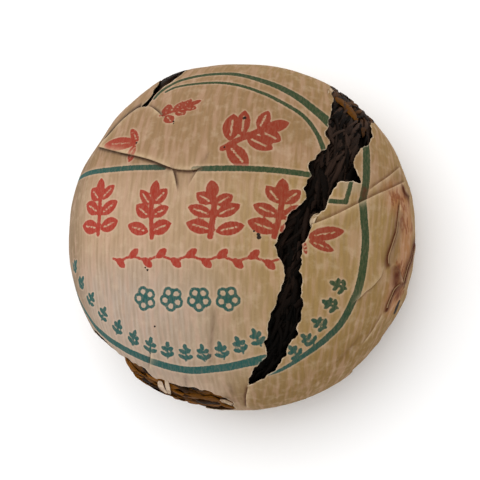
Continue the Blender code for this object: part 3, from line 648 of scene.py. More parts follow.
def pleat_turns():
    """The direction of each pleat's crest, unevenly spaced round the dome."""
    dice = random.Random(PLEAT_SEED)
    step = 2 * math.pi / PLEATS
    return [step * (number + dice.uniform(-PLEAT_SLACK, PLEAT_SLACK)) for number in range(PLEATS)]


def pleat_depths():
    """How strongly each pleat stands out, up to 1."""
    dice = random.Random(PLEAT_SEED + 1)
    return [dice.uniform(PLEAT_LEAST, 1.0) for _ in range(PLEATS)]


def pleat_drop(s):
    """The angle in which a pleat drops to its neighbour."""
    return PLEAT_STEP / np.maximum(MERIDIAN.radius(s), TWIST_PROFILE[1][0])


def pleats(s, turn):
    """Height of the knife pleats: a slow rise to each crest, then a sudden drop."""
    crests = np.array(pleat_turns())
    depths = np.array(pleat_depths())
    order = np.searchsorted(crests, np.mod(turn - crests[0], 2 * math.pi) + crests[0], side="right")
    following = order % PLEATS
    before = crests[order - 1]
    after = crests[following] + np.where(order == PLEATS, 2 * math.pi, 0.0)
    place = np.mod(turn - before, 2 * math.pi)
    drop = pleat_drop(s)
    width = after - before
    rise = np.clip((place - drop) / (width - drop), 0.0, 1.0) ** PLEAT_SWELL * depths[following]
    fall = np.clip(1.0 - place / drop, 0.0, 1.0) * depths[order - 1]
    skirt = ease(s, PLEAT_START, PLEAT_FULL) * foot_fade(s)
    hollow = ease(s, MERIDIAN.foot_end, MERIDIAN.hollow_start + LIP_RADIUS)
    hollow = hollow * (1 - ease(s, MERIDIAN.end - LIP_RADIUS, MERIDIAN.end))
    return np.maximum(rise, fall) * (SKIRT_PLEAT * skirt + HOLLOW_PLEAT * hollow)


def soft_waves(u, v):
    """A gentle unevenness between 0 and 1 that repeats nowhere on the sheet."""
    dice = random.Random(WAVE_SEED)
    total = np.zeros(len(u))
    for _ in range(WAVES):
        heading = dice.uniform(0, math.pi)
        length = dice.uniform(*WAVE_LENGTH)
        along = u * math.cos(heading) + v * math.sin(heading)
        total += np.sin(2 * math.pi * (along / length + dice.random()))
    return 0.5 + total / (2 * WAVES)


def twist_ridges(s, turn):
    """Height of the rounded ridges that wind up the twist."""
    run = s - MERIDIAN.twist_start
    ridges = 0.5 + 0.5 * np.cos(TWIST_RIDGES * turn + 2 * math.pi * TWIST_TURNS * run)
    return TWIST_RIDGE * ridges * ease(run, *TWIST_FADE) * ease(MERIDIAN.end - s, *TWIST_FADE)


def crumples(u, v, s, turn):
    """The fine unevenness of old handled paper, about 0 on average."""
    total = RIB_HEIGHT * np.cos(2 * math.pi * u / RIB_PITCH + noise(u, v, RIB_WANDER, RIB_SEED))
    for number, (size, height) in enumerate(CRUMPLES):
        total += height * noise(u, v, size, CRUMPLE_SEED + number)
    gathers = 1 - 2 * np.abs(noise(turn * RADIUS, s * GATHER_DRAWN_OUT, GATHER_WIDTH, GATHER_SEED))
    return total + GATHER * gathers * ease(s, GATHER_START, PLEAT_FULL)


def along_fold(path, u, v, taper=FOLD_TAPER):
    """A fold's line, and each place's distance, side, share of the way and fade at its ends."""
    line = smooth_path(path, FOLD_SPACING)
    gap, side, run, length = nearest(line, u, v)
    fade = ease(np.minimum(run, 1 - run) * length, 0, min(taper, TAPER_SHARE * length))
    return line, gap, side, run, fade


def relief(u, v, rim_gaps):
    """How far the sheet stands off its smooth form, and how far its points slide."""
    s, turn = polar(u, v)
    height = UNEVEN * soft_waves(u, v)
    slide = np.zeros((len(u), 2))
    for path, (first, last), tuck, width, _ in FOLDS.values():
        line, gap, side, run, fade = along_fold(path, u, v)
        lowered = 1 - np.clip(gap / FOLD_DROP, 0.0, 1.0)
        raised = np.where(side > 0, np.exp(-gap / width), lowered)
        height += (first + (last - first) * run) * fade * raised
        number = np.clip((run * (len(line) - 1)).round().astype(int), 0, len(line) - 1)
        reach = tuck * fade * np.where(side > 0, np.exp(-gap / TUCK_REACH), lowered)
        slide += across_path(line)[number] * reach[:, None]
    for path, depth, width in DENTS:
        _, gap, _, _, fade = along_fold(path, u, v)
        height -= depth * fade * np.exp(-(gap / width) ** 2)
    waves = soft_waves(v * LIFT_WAVES, u * LIFT_WAVES) * (1 - ease(s, *LIFT_FADE))
    for gap, share in zip(rim_gaps, LIFT_SHARES):
        height += share * EDGE_LIFT * waves * np.exp(-gap / LIFT_REACH)
    flap_gap = np.hypot(u - FLAP[0], v - FLAP[1])
    height += FLAP_LIFT * np.exp(-(flap_gap / FLAP_REACH) ** 2)
    height += crumples(u, v, s, turn)
    height = (np.maximum(height, 0.0) - FLANK_SETTLED * ease(s, *FLANK_FADE)) * foot_fade(s)
    return height + pleats(s, turn) + twist_ridges(s, turn), slide * foot_fade(s)[:, None]


def ring(s, count, shift=0.0):
    """Evenly spaced places on one ring, turned on by a share of their spacing."""
    turns = [2 * math.pi * (number + shift) / count for number in range(count)]
    return [(s * math.cos(turn), s * math.sin(turn)) for turn in turns]


def dome_points(spacings, end):
    """The top of the dome and rings of evenly spaced places round it, out to end."""
    places = [(0.0, 0.0)]
    s = 0.0
    number = 0
    while True:
        step = next(spacing for reach, spacing in spacings if s <= reach)
        s += step * math.sqrt(3) / 2
        if s > end - 0.3 * step:
            return np.array(places)
        number += 1
        count = max(6, round(2 * math.pi * float(MERIDIAN.radius(s)) / step))
        places += ring(s, count, 0.5 * (number % 2))


def fold_rows():
    """Each fold's crest and the foot of its drop, and each pleat's, as rows of places."""
    rows = []
    for path, _, tuck, _, _ in FOLDS.values():
        crest = smooth_path(path, FOLD_SPACING)
        shifts = (-FOLD_SHOULDER, 0.0, FOLD_DROP, tuck + FOLD_LINE, tuck + 3 * FOLD_LINE)
        rows += [crest + shift * across_path(crest) for shift in shifts]
    stops = np.arange(PLEAT_START - PLEAT_LEAD, MERIDIAN.twist_start, PLEAT_SPACING)
    for crest in pleat_turns():
        for share in (0.0, 1.0):
            rows.append(np.column_stack(around(stops, crest + share * pleat_drop(stops))))
    return rows


def clear_of(places, outlines):
    """True for each place outside the openings and clear of their edges."""
    return np.all([gap_to(outline, *places.T) > ROW_CLEAR for outline in outlines], axis=0)


def triangulate(places, rows, closed_rows):
    """Triangles over places and rows, whose steps all become sides of triangles."""
    points = list(places)
    edges = []
    for row in closed_rows:
        edges += [(len(points) + i, len(points) + (i + 1) % len(row)) for i in range(len(row))]
        points += list(row)
    keep = [True] * len(points)
    for row, kept in rows:
        first = len(points)
        edges += [(first + i, first + i + 1) for i in range(len(row) - 1) if kept[i] and kept[i + 1]]
        points += list(row)
        keep += list(kept)
    renumber = np.cumsum(keep) - 1
    edges = [(int(renumber[a]), int(renumber[b])) for a, b in edges]
    flat = [Vector(point) for point in MERIDIAN.to_map(*np.array(points)[keep].T.copy())]
    made = geometry.delaunay_2d_cdt(flat, edges, [], 0, TINY)
    mapped = np.array([tuple(point) for point in made[0]])
    triangles = np.array(made[2])
    u, v = MERIDIAN.from_map(mapped)
    return u, v, triangles, MERIDIAN.from_map(mapped[triangles].mean(axis=1))


def sheet_triangles(outlines):
    """Places over the whole sheet and the triangles between them, without the openings."""
    rows = [(row, clear_of(row, outlines)) for row in fold_rows()]
    places = dome_points(SHEET_SPACINGS, MERIDIAN.end)
    places = places[clear_of(places, outlines)]
    keep = np.ones(len(places), dtype=bool)
    for row, _ in rows:
        keep &= nearest(row, places[:, 0], places[:, 1])[0] > ROW_CLEAR
    last = np.array(ring(MERIDIAN.end, END_SIDES))
    u, v, triangles, middle = triangulate(places[keep], rows, outlines + [last])
    bare = np.any([inside(outline, *middle) for outline in outlines], axis=0)
    return u, v, triangles[~bare]


def leaf_shape(places, start, end, width, swell=0.8):
    """Distance from places to a pointed leaf from start to end, below 0 inside it."""
    start = np.array(start, dtype=float)
    along = np.array(end, dtype=float) - start
    length = math.hypot(*along)
    along /= length
    x = (places - start) @ along
    y = (places - start) @ np.array([-along[1], along[0]])
    part = np.clip(x / length, 0.0, 1.0)
    profile = 0.5 * width * (4 * part * (1 - part)) ** swell
    outside = np.hypot(x - part * length, y)
    return np.where((x > 0) & (x < length), np.abs(y) - profile, outside)


def stroke(places, points, width, last=None):
    """Distance from places to a line, below 0 inside it. Its width may change to last."""
    gap, _, run, _ = nearest(np.array(points, dtype=float), places[:, 0], places[:, 1])
    return gap - (width + ((last or width) - width) * run) / 2


def veined_leaf(places, start, end, width, vein):
    """A leaf with its middle rib left unprinted."""
    start, end = np.array(start, dtype=float), np.array(end, dtype=float)
    body = leaf_shape(places, start, end, width)
    rib = stroke(places, [start + 0.2 * (end - start), start + 0.75 * (end - start)], vein)
    return np.maximum(body, -rib)


def shoot(places, seed):
    """A bold tea shoot 13 mm tall and as broad: a bent stem, pairs of leaves and a bud."""
    dice = random.Random(seed)
    bow = dice.choice([-1, 1]) * dice.uniform(0.4, 1.1)
    stem = [(bow, -6.6), (0.4 * bow, -3.0), (0.0, 0.5), (0.2 * bow, 3.2)]
    shape = stroke(places, smooth_path(stem, SHOOT_SPACING), SHOOT_STEM)
    for number in range(SHOOT_PAIRS):
        for side in (-1, 1):
            root = np.array([0.25 * side, -5.2 + SHOOT_PITCH * number + dice.uniform(-0.4, 0.4)])
            heading = math.radians(dice.uniform(*SHOOT_HEADING) + 10 * number)
            reach = dice.uniform(*SHOOT_LENGTH) - 0.75 * number
            tip = root + reach * np.array([side * math.cos(heading), math.sin(heading)])
            width = dice.uniform(*SHOOT_WIDTH) - 0.2 * number
            shape = np.minimum(shape, veined_leaf(places, root, tip, width, SHOOT_VEIN))
    return np.minimum(shape, leaf_shape(places, (0.2 * bow, 2.4), (0.6 * bow, 7.0), SHOOT_BUD))


def flower(places):
    """A small tea flower: five petals in outline about a solid middle."""
    shape = np.hypot(places[:, 0], places[:, 1]) - 0.22 * FLOWER_RADIUS
    for turn in np.radians(18 + np.arange(PETALS) * 360 / PETALS):
        centre = 0.6 * FLOWER_RADIUS * np.array([math.cos(turn), math.sin(turn)])
        petal = np.abs(np.hypot(*(places - centre).T) - 0.36 * FLOWER_RADIUS) - FLOWER_LINE / 2
        shape = np.minimum(shape, petal)
    return shape


def sprig(places, seed):
    """A small upright twig with two pairs of leaves and a bud, for the garland."""
    dice = random.Random(seed)
    shape = stroke(places, [(0.0, -1.8), (0.0, 1.0)], SPRIG_STEM)
    for height, reach in ((-1.3, 1.75), (0.1, 1.4)):
        for side in (-1, 1):
            heading = math.radians(dice.uniform(22, 42))
            root = np.array([0.15 * side, height])
            tip = root + reach * np.array([side * math.cos(heading), math.sin(heading)])
            shape = np.minimum(shape, leaf_shape(places, root, tip, SPRIG_LEAF, 0.5))
    return np.minimum(shape, leaf_shape(places, (0.0, 0.6), (0.0, 2.2), SPRIG_LEAF, 0.5))


def stamp(shape, places, centre, draw, turn, size, reach, breadth=1.0):
    """Adds a motif to the distances in shape, turned, sized and stretched about its centre."""
    shifted = places - np.array(centre)
    near = np.abs(shifted).max(axis=1) < reach * size
    right = np.array([math.cos(math.radians(turn)), math.sin(math.radians(turn))])
    up = np.array([-right[1], right[0]])
    local = np.column_stack([shifted[near] @ right / breadth, shifted[near] @ up]) / size
    if len(local):
        shape[near] = np.minimum(shape[near], draw(local) * size)


def garland(shape, places):
    """Adds the sprigs that stand in rows inside the ring, each upright on its row."""
    seed = 0
    for row in GARLANDS:
        for centre, (right, up) in zip(row, np.gradient(np.array(row), axis=0)):
            seed += 1
            turn = math.degrees(math.atan2(up, right))
            stamp(shape, places, centre, lambda local: sprig(local, seed), turn, SPRIG_SIZE,
                  SPRIG_REACH)


def green_print(places):
    """Distance to the green print, below 0 inside it."""
    shape = stroke(places, CORNER, CORNER_WIDTH)
    lines = [(ARC, ARC_WIDTHS)] + [(chord, (CHORD_WIDTH,)) for chord in CHORDS] + list(RINGS.values())
    for points, widths in lines:
        shape = np.minimum(shape, stroke(places, smooth_path(points, LINE_SPACING), *widths))
    for centre in FLOWERS:
        stamp(shape, places, centre, flower, 12 * centre[0], 1.0, FLOWER_REACH)
    garland(shape, places)
    return shape


def red_print(places):
    """Distance to the red print, below 0 inside it."""
    shape = np.full(len(places), FAR)
    for centre, turn, size, breadth, seed in SHOOTS:
        stamp(shape, places, centre, lambda local: shoot(local, seed), turn, size, SHOOT_REACH, breadth)
    for root, tip, width in RED_LEAVES:
        shape = np.minimum(shape, veined_leaf(places, root, tip, width, RED_VEIN))
    first, last, height = VINE
    stem_u = np.arange(first - 1.0, last + 1.0, VINE_SPACING)
    stem = np.column_stack([stem_u, height + VINE_WAVE * np.sin(stem_u * math.pi / VINE_PITCH)])
    shape = np.minimum(shape, stroke(places, stem, VINE_STEM))
    for number, root in enumerate(np.arange(first, last - 1.0, VINE_PITCH)):
        tip = (root + VINE_LEAN, height + (VINE_RISE if number % 2 else -VINE_RISE))
        shape = np.minimum(shape, leaf_shape(places, (root, height), tip, VINE_LEAF, 0.6))
    return shape


def rust_print(places):
    """Distance to the faded marks on the pleats at the right."""
    dice = random.Random(MARK_SEED)
    shape = np.full(len(places), FAR)
    for centre in RUST_SPOTS:
        for _ in range(RUST_STROKES):
            start = np.array(centre) + (dice.uniform(-1.1, 1.1), dice.uniform(-1.6, 0.6))
            end = start + (dice.uniform(-1.0, 1.0), dice.uniform(1.0, 2.6))
            shape = np.minimum(shape, leaf_shape(places, start, end, 0.7, 0.5))
    return shape


def add_values(mesh, name, values):
    """Stores one number for each vertex of a mesh, for its material to read."""
    attribute = mesh.attributes.new(name, "FLOAT", "POINT")
    attribute.data.foreach_set("value", np.asarray(values, dtype=np.float32))


def add_object(name, data):
    """Puts an object of that name and data into the scene."""
    made = bpy.data.objects.new(name, data)
    bpy.context.scene.collection.objects.link(made)
    return made


def make_piece(name, points, faces, node, material):
    """A mesh piece, from points in millimetres, that rides on the body and has its finish."""
    mesh = bpy.data.meshes.new(name)
    mesh.from_pydata([Vector(point) * MM for point in points], [], faces)
    mesh.validate()
    mesh.shade_smooth()
    mesh.materials.append(material)
    made = add_object(name, mesh)
    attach(made, "root")
    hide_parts(node)
    return made


def add_places(mesh, u, v):
    """Stores each vertex's place on the paper as texture coordinates, in millimetres."""
    layer = mesh.uv_layers.new(name="paper_mm")
    corners = np.empty(len(mesh.loops), dtype=np.int32)
    mesh.loops.foreach_get("vertex_index", corners)
    layer.data.foreach_set("uv", np.column_stack([u[corners], v[corners]]).astype(np.float32).ravel())


def crease_shade(u, v):
    """Painted shade under the folds, beside them and in the dents, and painted highlight on a crest."""
    dark = np.zeros(len(u))
    pale = np.zeros(len(u))
    for path, _, tuck, _, darkness in FOLDS.values():
        _, gap, side, _, fade = along_fold(path, u, v)
        line = np.exp(-(np.maximum(gap - tuck - FOLD_LINE, 0.0) / FOLD_LINE) ** 2)
        foot = LINE_SHARE * line + (1 - LINE_SHARE) * np.exp(-np.maximum(gap - tuck, 0.0) / FOLD_SHADE)
        drop = np.clip(gap / FOLD_DROP, 0.0, 1.0)
        dark = np.maximum(dark, darkness * fade * np.where(side > 0, 0.0, foot * drop))
        crest = np.where(side > 0, np.exp(-gap / CREST_HIGHLIGHT_WIDTH), 1 - drop)
        pale = np.maximum(pale, (0.5 + 0.5 * darkness) * fade * crest)
    for path, reach, darkness in SHADES:
        _, gap, _, _, fade = along_fold(path, u, v, SHADE_TAPER)
        dark = np.maximum(dark, darkness * fade * np.exp(-(gap / reach) ** 2))
    for path, depth, width in DENTS:
        _, gap, _, _, fade = along_fold(path, u, v)
        dark = np.maximum(dark, (DENT_SHADE + depth) * fade * np.exp(-gap / width))
    return dark, pale


def border_sides(faces):
    """The sides that only one triangle has, as they run in it."""
    sides = {side for a, b, c in faces for side in ((a, b), (b, c), (c, a))}
    return sorted((a, b) for a, b in sides if (b, a) not in sides)


def tube_faces(first, sections, loop):
    """Faces of a closed tube, whose sections follow each other and are gone round by loop."""
    last = first + (sections - 1) * len(loop)
    faces = [[first + number for number in loop[::-1]], [last + number for number in loop]]
    for near in range(first, last, len(loop)):
        far = near + len(loop)
        faces += [(near + here, near + after, far + after, far + here)
                  for here, after in zip(loop, loop[1:] + loop[:1])]
    return faces


def make_wrapper(outlines, material):
    """The sheet as one thin closed shell: outer face, inner face and torn edges."""
    u, v, triangles = sheet_triangles(outlines)
    rim_gaps = [nearest(outline, u, v, closed=True)[0] for outline in outlines]
    height, slide = relief(u, v, rim_gaps)
    outer = MERIDIAN.place(u + slide[:, 0], v + slide[:, 1], height)
    lining = MERIDIAN.place_lining(u + slide[:, 0], v + slide[:, 1], height)
    last_place = (np.array([MERIDIAN.end]), np.zeros(1), np.zeros(1))
    ends = [(0.0, 0.0, face(*last_place)[0, 2]) for face in (MERIDIAN.place, MERIDIAN.place_lining)]
    count = len(u)
    faces = triangles.tolist()
    shell = faces + [(c + count, b + count, a + count) for a, b, c in faces]
    caps = []
    for a, b in border_sides(faces):
        if math.hypot(u[a], v[a]) > MERIDIAN.end - END_MARGIN:
            caps += [(b, a, 2 * count), (a + count, b + count, 2 * count + 1)]
        else:
            shell += [(b, a, a + count), (b, a + count, b + count)]
    points = [*outer, *lining, *ends]
    made = make_piece("paper_wrapper", points, shell + caps, "wrapper", material)
    places = np.column_stack([u, v])
    dark, pale = crease_shade(u, v)
    columns = {"green": green_print(places), "red": red_print(places), "rust": rust_print(places),
               "rim": np.min(rim_gaps, axis=0), "corner": stroke(places, CORNER_HIGHLIGHT, 0.0),
               "stain": stroke(places, STAIN, 2 * STAIN_HALF), "fold_painted_shade": dark, "fold_painted_highlight": pale}
    for name, values in columns.items():
        values = np.clip(values, -FAR, FAR)
        closing = 0.0 if name.startswith("fold") else FAR
        add_values(made.data, name, np.concatenate([values, values, [closing, closing]]))
    add_values(made.data, "back", np.repeat([0.0, 1.0], [count, count + 2]))
    add_places(made.data, np.concatenate([u, u, [0, 0]]), np.concatenate([v, v, [0, 0]]))


def make_shreds(material):
    """Small torn strips of paper that curl up at the edges of the openings."""
    points, faces, places = [], [], []
    shifts = np.linspace(-0.5, 0.5, SHRED_SIDES)
    loop = [*range(SHRED_SIDES, 2 * SHRED_SIDES), *range(SHRED_SIDES - 1, -1, -1)]
    for path, width, lift, curl in SHREDS:
        line = smooth_path(path, SHRED_SPACING)
        faces += tube_faces(len(points), len(line), loop)
        for number, (place, side) in enumerate(zip(line, across_path(line))):
            part = number / (len(line) - 1)
            breadth = width * (0.35 + 0.65 * math.sin(math.pi * min(1.0, 0.15 + 0.85 * part)))
            across = place + np.outer(shifts * breadth, side)
            height = lift * math.sin(math.pi * part) + curl * (2 * shifts) ** 2
            for layer in (0.0, -PAPER):
                points += list(MERIDIAN.place(across[:, 0], across[:, 1], height + layer))
                places += list(across)
    made = make_piece("paper_shreds", points, faces, "wrapper", material)
    for name in ("green", "red", "rust", "corner", "stain"):
        add_values(made.data, name, np.full(len(points), FAR))
    for name in ("rim", "fold_painted_shade", "fold_painted_highlight", "back"):
        add_values(made.data, name, np.zeros(len(points)))
    add_places(made.data, *np.array(places).T)


def bareness(u, v, outlines, start, end):
    """1 up to the distance start from the openings, and 0 from the distance end on."""
    return np.max([1 - ease(gap_to(outline, u, v), start, end) for outline in outlines], axis=0)


def bare_depth(u, v, outlines):
    """Depth of the tea under the sheet's outer face, more where the sheet has torn away."""
    covered = SOLID_PAPER + SOLID_CLEARANCE
    bare = bareness(u, v, outlines, BARE_MARGIN, BARE_FADE)
    return covered + (BARE_DEPTH - covered) * bare + worn_depth(u, v)


def worn_depth(u, v):
    """How much deeper the bare tea lies where it has worn away."""
    path, depth, reach = WORN
    return depth * np.exp(-(nearest(np.array(path), u, v)[0] / reach) ** 2)


def make_core(outlines, material):
    """The pressed dome with its hollow, uneven where it shows between the leaves."""
    places = dome_points(TEA_SPACINGS, MERIDIAN.twist_start)
    last = np.array(ring(MERIDIAN.twist_start, CORE_END_SIDES))
    u, v, triangles, _ = triangulate(places, [], [last])
    depth = bare_depth(u, v, outlines)
    bare = ease(depth, ROUGH_FROM, BARE_DEPTH)
    lumps = sum(height * noise(u * wide, v * tall, size, seed) for height, size, seed, (wide, tall) in LUMPS)
    depth += bare * lumps + SUNK * bare
    points = list(MERIDIAN.place(u, v, -depth))
    faces = triangles.tolist()
    faces += [(b, a, len(points)) for a, b in border_sides(faces)]
    points.append((0.0, 0.0, points[int(np.argmax(np.hypot(u, v)))][2]))
    made = make_piece("tea_core", points, faces, "tea_cake", material)
    add_values(made.data, "tint", np.full(len(points), CORE_TINT))
    add_values(made.data, "gold", np.append(gold_share(u, v), 0.0))
    add_places(made.data, np.append(u, 0.0), np.append(v, 0.0))


def gold_share(u, v):
    """Where the tea is golden brown in place of near black: the tear's top and the strip, but for a painted
    shadow.
    """
    top = GOLD_SHARE * ease(u * GOLD_SLANT + v, *GOLD_TOP)
    strip = ease(-v, *GOLD_STRIP) * (1 - ease(u, *GOLD_END))
    # Painted shadow under the paper's edge keeps one patch of the strip dark
    across = (u - EDGE_SHADOW_MIDDLE[0]) / EDGE_SHADOW_REACH[0]
    up = (v - EDGE_SHADOW_MIDDLE[1]) / EDGE_SHADOW_REACH[1]
    return np.maximum(top, strip * (1 - np.exp(-(across ** 2 + up ** 2))))


def add_leaf(parts, place, heading, size, deep, dice):
    """Adds one rolled leaf to parts: a bent tapered roll with twisted ridges."""
    length, width, thickness = size
    bend = math.radians(dice.uniform(-LEAF_BEND, LEAF_BEND))
    twist = dice.uniform(-LEAF_TWIST, LEAF_TWIST)
    phase = dice.uniform(0, 2 * math.pi)
    tilt = dice.uniform(-LEAF_TILT, LEAF_TILT) / max(1.0, width)
    parts["faces"] += tube_faces(len(parts["u"]), LEAF_SECTIONS, list(range(LEAF_SIDES)))
    for number in range(LEAF_SECTIONS):
        part = number / (LEAF_SECTIONS - 1)
        turned = heading + bend * (part - 0.5)
        along = (part - 0.5) * length
        breadth = max(LEAF_TIP, (4 * part * (1 - part)) ** LEAF_TAPER)
        sink = 0.5 * (2 * part - 1) ** 4
        wander = LEAF_WANDER * min(width, 1.5) * math.sin(7 * part + phase)
        for side in range(LEAF_SIDES):
            angle = 2 * math.pi * side / LEAF_SIDES
            swell = breadth * (1 + LEAF_RIDGE * math.cos(3 * angle + twist * 2 * math.pi * part + phase))
            across = 0.5 * width * swell * math.cos(angle) + wander
            up = 0.5 * thickness * swell * math.sin(angle) + tilt * across
            parts["u"].append(place[0] + along * math.cos(turned) - across * math.sin(turned))
            parts["v"].append(place[1] + along * math.sin(turned) + across * math.cos(turned))
            parts["depth"].append(deep + sink - up)
    parts["tint"] += [dice.random()] * (LEAF_SECTIONS * LEAF_SIDES)


def leaf_depth(place, dice):
    """How deep a leaf's middle lies: less on the flank, where the bare zones show edge on."""
    return dice.uniform(*LEAF_DEPTH) - FLANK_RISE * float(ease(math.hypot(*place), *LEAF_FLANK))


def places_within(outline, number, seed):
    """That many random places within a closed outline."""
    tries = np.random.default_rng(seed).random((LEAF_TRIES * number, 2))
    low, high = outline.min(axis=0), outline.max(axis=0)
    tries = low + tries * (high - low)
    return tries[inside(outline, tries[:, 0], tries[:, 1])][:number]


def make_leaves(outlines, material):
    """The leaves that lie in the bare zones, joined in one piece."""
    dice = random.Random(LEAF_SEED)
    parts = {"u": [], "v": [], "depth": [], "faces": [], "tint": []}
    for outline, (number, heading, spread, lengths, widths) in zip(outlines, LEAF_GROUPS):
        for place in places_within(outline, number, LEAF_SEED):
            turned = math.radians(heading + dice.uniform(-spread, spread))
            width = dice.uniform(*widths)
            size = (dice.uniform(*lengths), width, min(width, dice.uniform(*LEAF_THICKNESS)))
            add_leaf(parts, place, turned, size, leaf_depth(place, dice), dice)
    plain = len(parts["u"])
    for place, heading, length, width, deep, _ in BROAD_LEAVES:
        add_leaf(parts, place, math.radians(heading), (length, width, BROAD_THICKNESS), deep, dice)
    u, v, depth = (np.array(parts[name]) for name in ("u", "v", "depth"))
    gold = gold_share(u, v)
    gold[plain:] = np.repeat([leaf[5] for leaf in BROAD_LEAVES], LEAF_SECTIONS * LEAF_SIDES)
    covered = COVERED_DEPTH * (1 - bareness(u, v, outlines, 0.0, COVERED_FROM))
    points = MERIDIAN.place(u, v, -(np.maximum(depth, covered) + worn_depth(u, v)))
    made = make_piece("tea_leaves", points, parts["faces"], "tea_cake", material)
    add_values(made.data, "tint", parts["tint"])
    add_values(made.data, "gold", gold)
    add_places(made.data, u, v)


class Shading:
    """A material's node tree, with short calls for the nodes that it uses."""

    def __init__(self, name):
        self.material = bpy.data.materials.new(name)
        self.material.use_nodes = True
        self.tree = self.material.node_tree
        self.shader = self.tree.nodes["Principled BSDF"]
        self.colour = None

    def node(self, kind, values, output=0, **settings):
        made = self.tree.nodes.new(kind)
        for name, value in settings.items():
            setattr(made, name, value)
        for key, value in values.items():
            self.put(made.inputs[key], value)
        return made.outputs[output]

    def put(self, socket, value):
        if isinstance(value, bpy.types.NodeSocket):
            self.tree.links.new(value, socket)
        else:
            socket.default_value = value

    def math(self, operation, *values):
        return self.node("ShaderNodeMath", dict(enumerate(values)), operation=operation)

    def plus(self, first, second):
        return self.math("ADD", first, second)

    def times(self, first, second):
        return self.math("MULTIPLY", first, second)

    def paper_places(self):
        """The places on the paper, and their two parts."""
        uv = self.node("ShaderNodeUVMap", {}, uv_map="paper_mm")
        parts = self.node("ShaderNodeSeparateXYZ", {"Vector": uv}).node
        return uv, parts.outputs["X"], parts.outputs["Y"]

    def body_places(self):
        return self.node("ShaderNodeTexCoord", {}, output="Object")

    def attribute(self, name):
        return self.node("ShaderNodeAttribute", {}, output="Fac", attribute_name=name)

    def distance(self, places, *centre):
        """How far places lie from a centre, or from the top."""
        values = dict(enumerate([places, *centre]))
        return self.node("ShaderNodeVectorMath", values, output="Value",
                         operation="DISTANCE" if centre else "LENGTH")

    def fade(self, value, start, end, low=0.0, high=1.0):
        """low before start, high after end, smooth between."""
        return self.node("ShaderNodeMapRange", {"Value": value, "From Min": start, "From Max": end,
                                                "To Min": low, "To Max": high},
                         interpolation_type="SMOOTHSTEP")

    def blend(self, share, first, second):
        return self.node("ShaderNodeMix", {0: share, 6: first, 7: second}, output=2, data_type="RGBA")

    def coat(self, share, colour):
        """Lays a colour over the one so far, by that share."""
        self.colour = self.blend(share, self.colour, colour)

    def noise(self, places, scale, detail=2.0, roughness=0.5, stretch=(1.0, 1.0, 1.0)):
        mapped = self.node("ShaderNodeMapping", {"Vector": places, "Scale": stretch})
        return self.node("ShaderNodeTexNoise", {"Vector": mapped, "Scale": scale, "Detail": detail,
                                                "Roughness": roughness})

    def finish(self, roughness, specular, bump, bump_depth):
        normal = self.node("ShaderNodeBump", {"Height": bump, "Distance": bump_depth, "Strength": 1.0})
        values = {"Base Color": self.colour, "Roughness": roughness, "Specular IOR Level": specular,
                  "Normal": normal}
        for name, value in values.items():
            self.put(self.shader.inputs[name], value)
        return self.material


def srgb(*channels):
    """A colour from its 8-bit display values."""
    parts = [channel / 255 for channel in channels]
    return *(part / 12.92 if part <= 0.04045 else ((part + 0.055) / 1.055) ** 2.4 for part in parts), 1.0


def paper_ground(paint, uv, across, up):
    """The sheet's colour, partly painted shade. Gives back how far to the right of the print each place
    counts.
    """
    patches = paint.noise(uv, 0.045, 3.0, 0.55)
    lean = paint.plus(across, paint.times(patches, 14.0))
    right = paint.fade(lean, -14.0, 30.0)

    # Pinker at the left, olive and darker at the right, partly as painted shade, and brown at the top
    paint.colour = paint.blend(paint.fade(up, -20.0, -4.0), srgb(165, 147, 132), srgb(168, 140, 113))
    paint.coat(right, srgb(142, 114, 68))
    top = paint.plus(up, paint.times(patches, 8.0))
    paint.coat(paint.fade(top, 8.0, 22.0, 0.0, 0.85), srgb(132, 101, 68))

    # Painted shade on the flank, more at the right, and at the far left; pale at the foot of the print
    reach = paint.distance(uv)
    dull = paint.blend(paint.fade(up, -38.0, -4.0), srgb(116, 85, 33), srgb(138, 107, 57))
    paint.coat(paint.times(paint.fade(reach, 34.0, 50.0), paint.fade(lean, -18.0, 16.0, 0.12, 0.8)), dull)
    paint.coat(paint.fade(across, -42.0, -32.0, 0.62, 0.0), srgb(96, 76, 48))
    pale = paint.times(paint.fade(up, -43.0, -37.0, 0.6, 0.0), paint.fade(lean, 0.0, 16.0, 1.0, 0.0))
    paint.coat(paint.times(pale, paint.fade(reach, 54.0, 70.0, 1.0, 0.0)), srgb(190, 164, 144))
    paint.coat(paint.fade(paint.attribute("stain"), 0.0, FAR, 0.58, 0.0), srgb(162, 98, 56))
    # Painted highlight on the raised corner beside the tear
    paint.coat(paint.fade(paint.attribute("corner"), 0.5, CORNER_HIGHLIGHT_REACH, 0.55, 0.0), srgb(146, 134, 106))
    return right


def paper_grain(paint, uv, across, clouds):
    """Ribs along the print's upright, pinker and more olive streaks, clouds and specks."""
    wander = paint.times(paint.noise(uv, 0.12, 1.0), 6.0)
    rib = paint.math("SINE", paint.plus(paint.times(across, 2 * math.pi / RIB_PITCH), wander))
    streaks = paint.noise(uv, 1.0, 3.0, 0.6, (1.6, 0.16, 1.0))
    casts = paint.noise(uv, 0.5, 2.0, 0.5, (1.3, 0.22, 1.0))
    paint.coat(paint.fade(streaks, 0.36, 0.66, 0.0, 0.26), srgb(128, 104, 70))
    paint.coat(paint.fade(casts, 0.45, 0.65, 0.0, 0.3), srgb(182, 146, 126))
    rib_share = paint.times(paint.fade(rib, -1.0, 1.0), paint.fade(casts, 0.3, 0.7, 0.2, 0.06))
    paint.coat(rib_share, srgb(104, 82, 54))
    paint.coat(paint.fade(clouds, 0.45, 0.75, 0.0, 0.25), srgb(196, 174, 148))
    paint.coat(paint.fade(paint.noise(uv, 2.4, 2.0, 0.5), 0.66, 0.76, 0.0, 0.35), srgb(104, 78, 50))
    return paint.plus(paint.times(rib, 0.35), paint.times(streaks, 0.8))


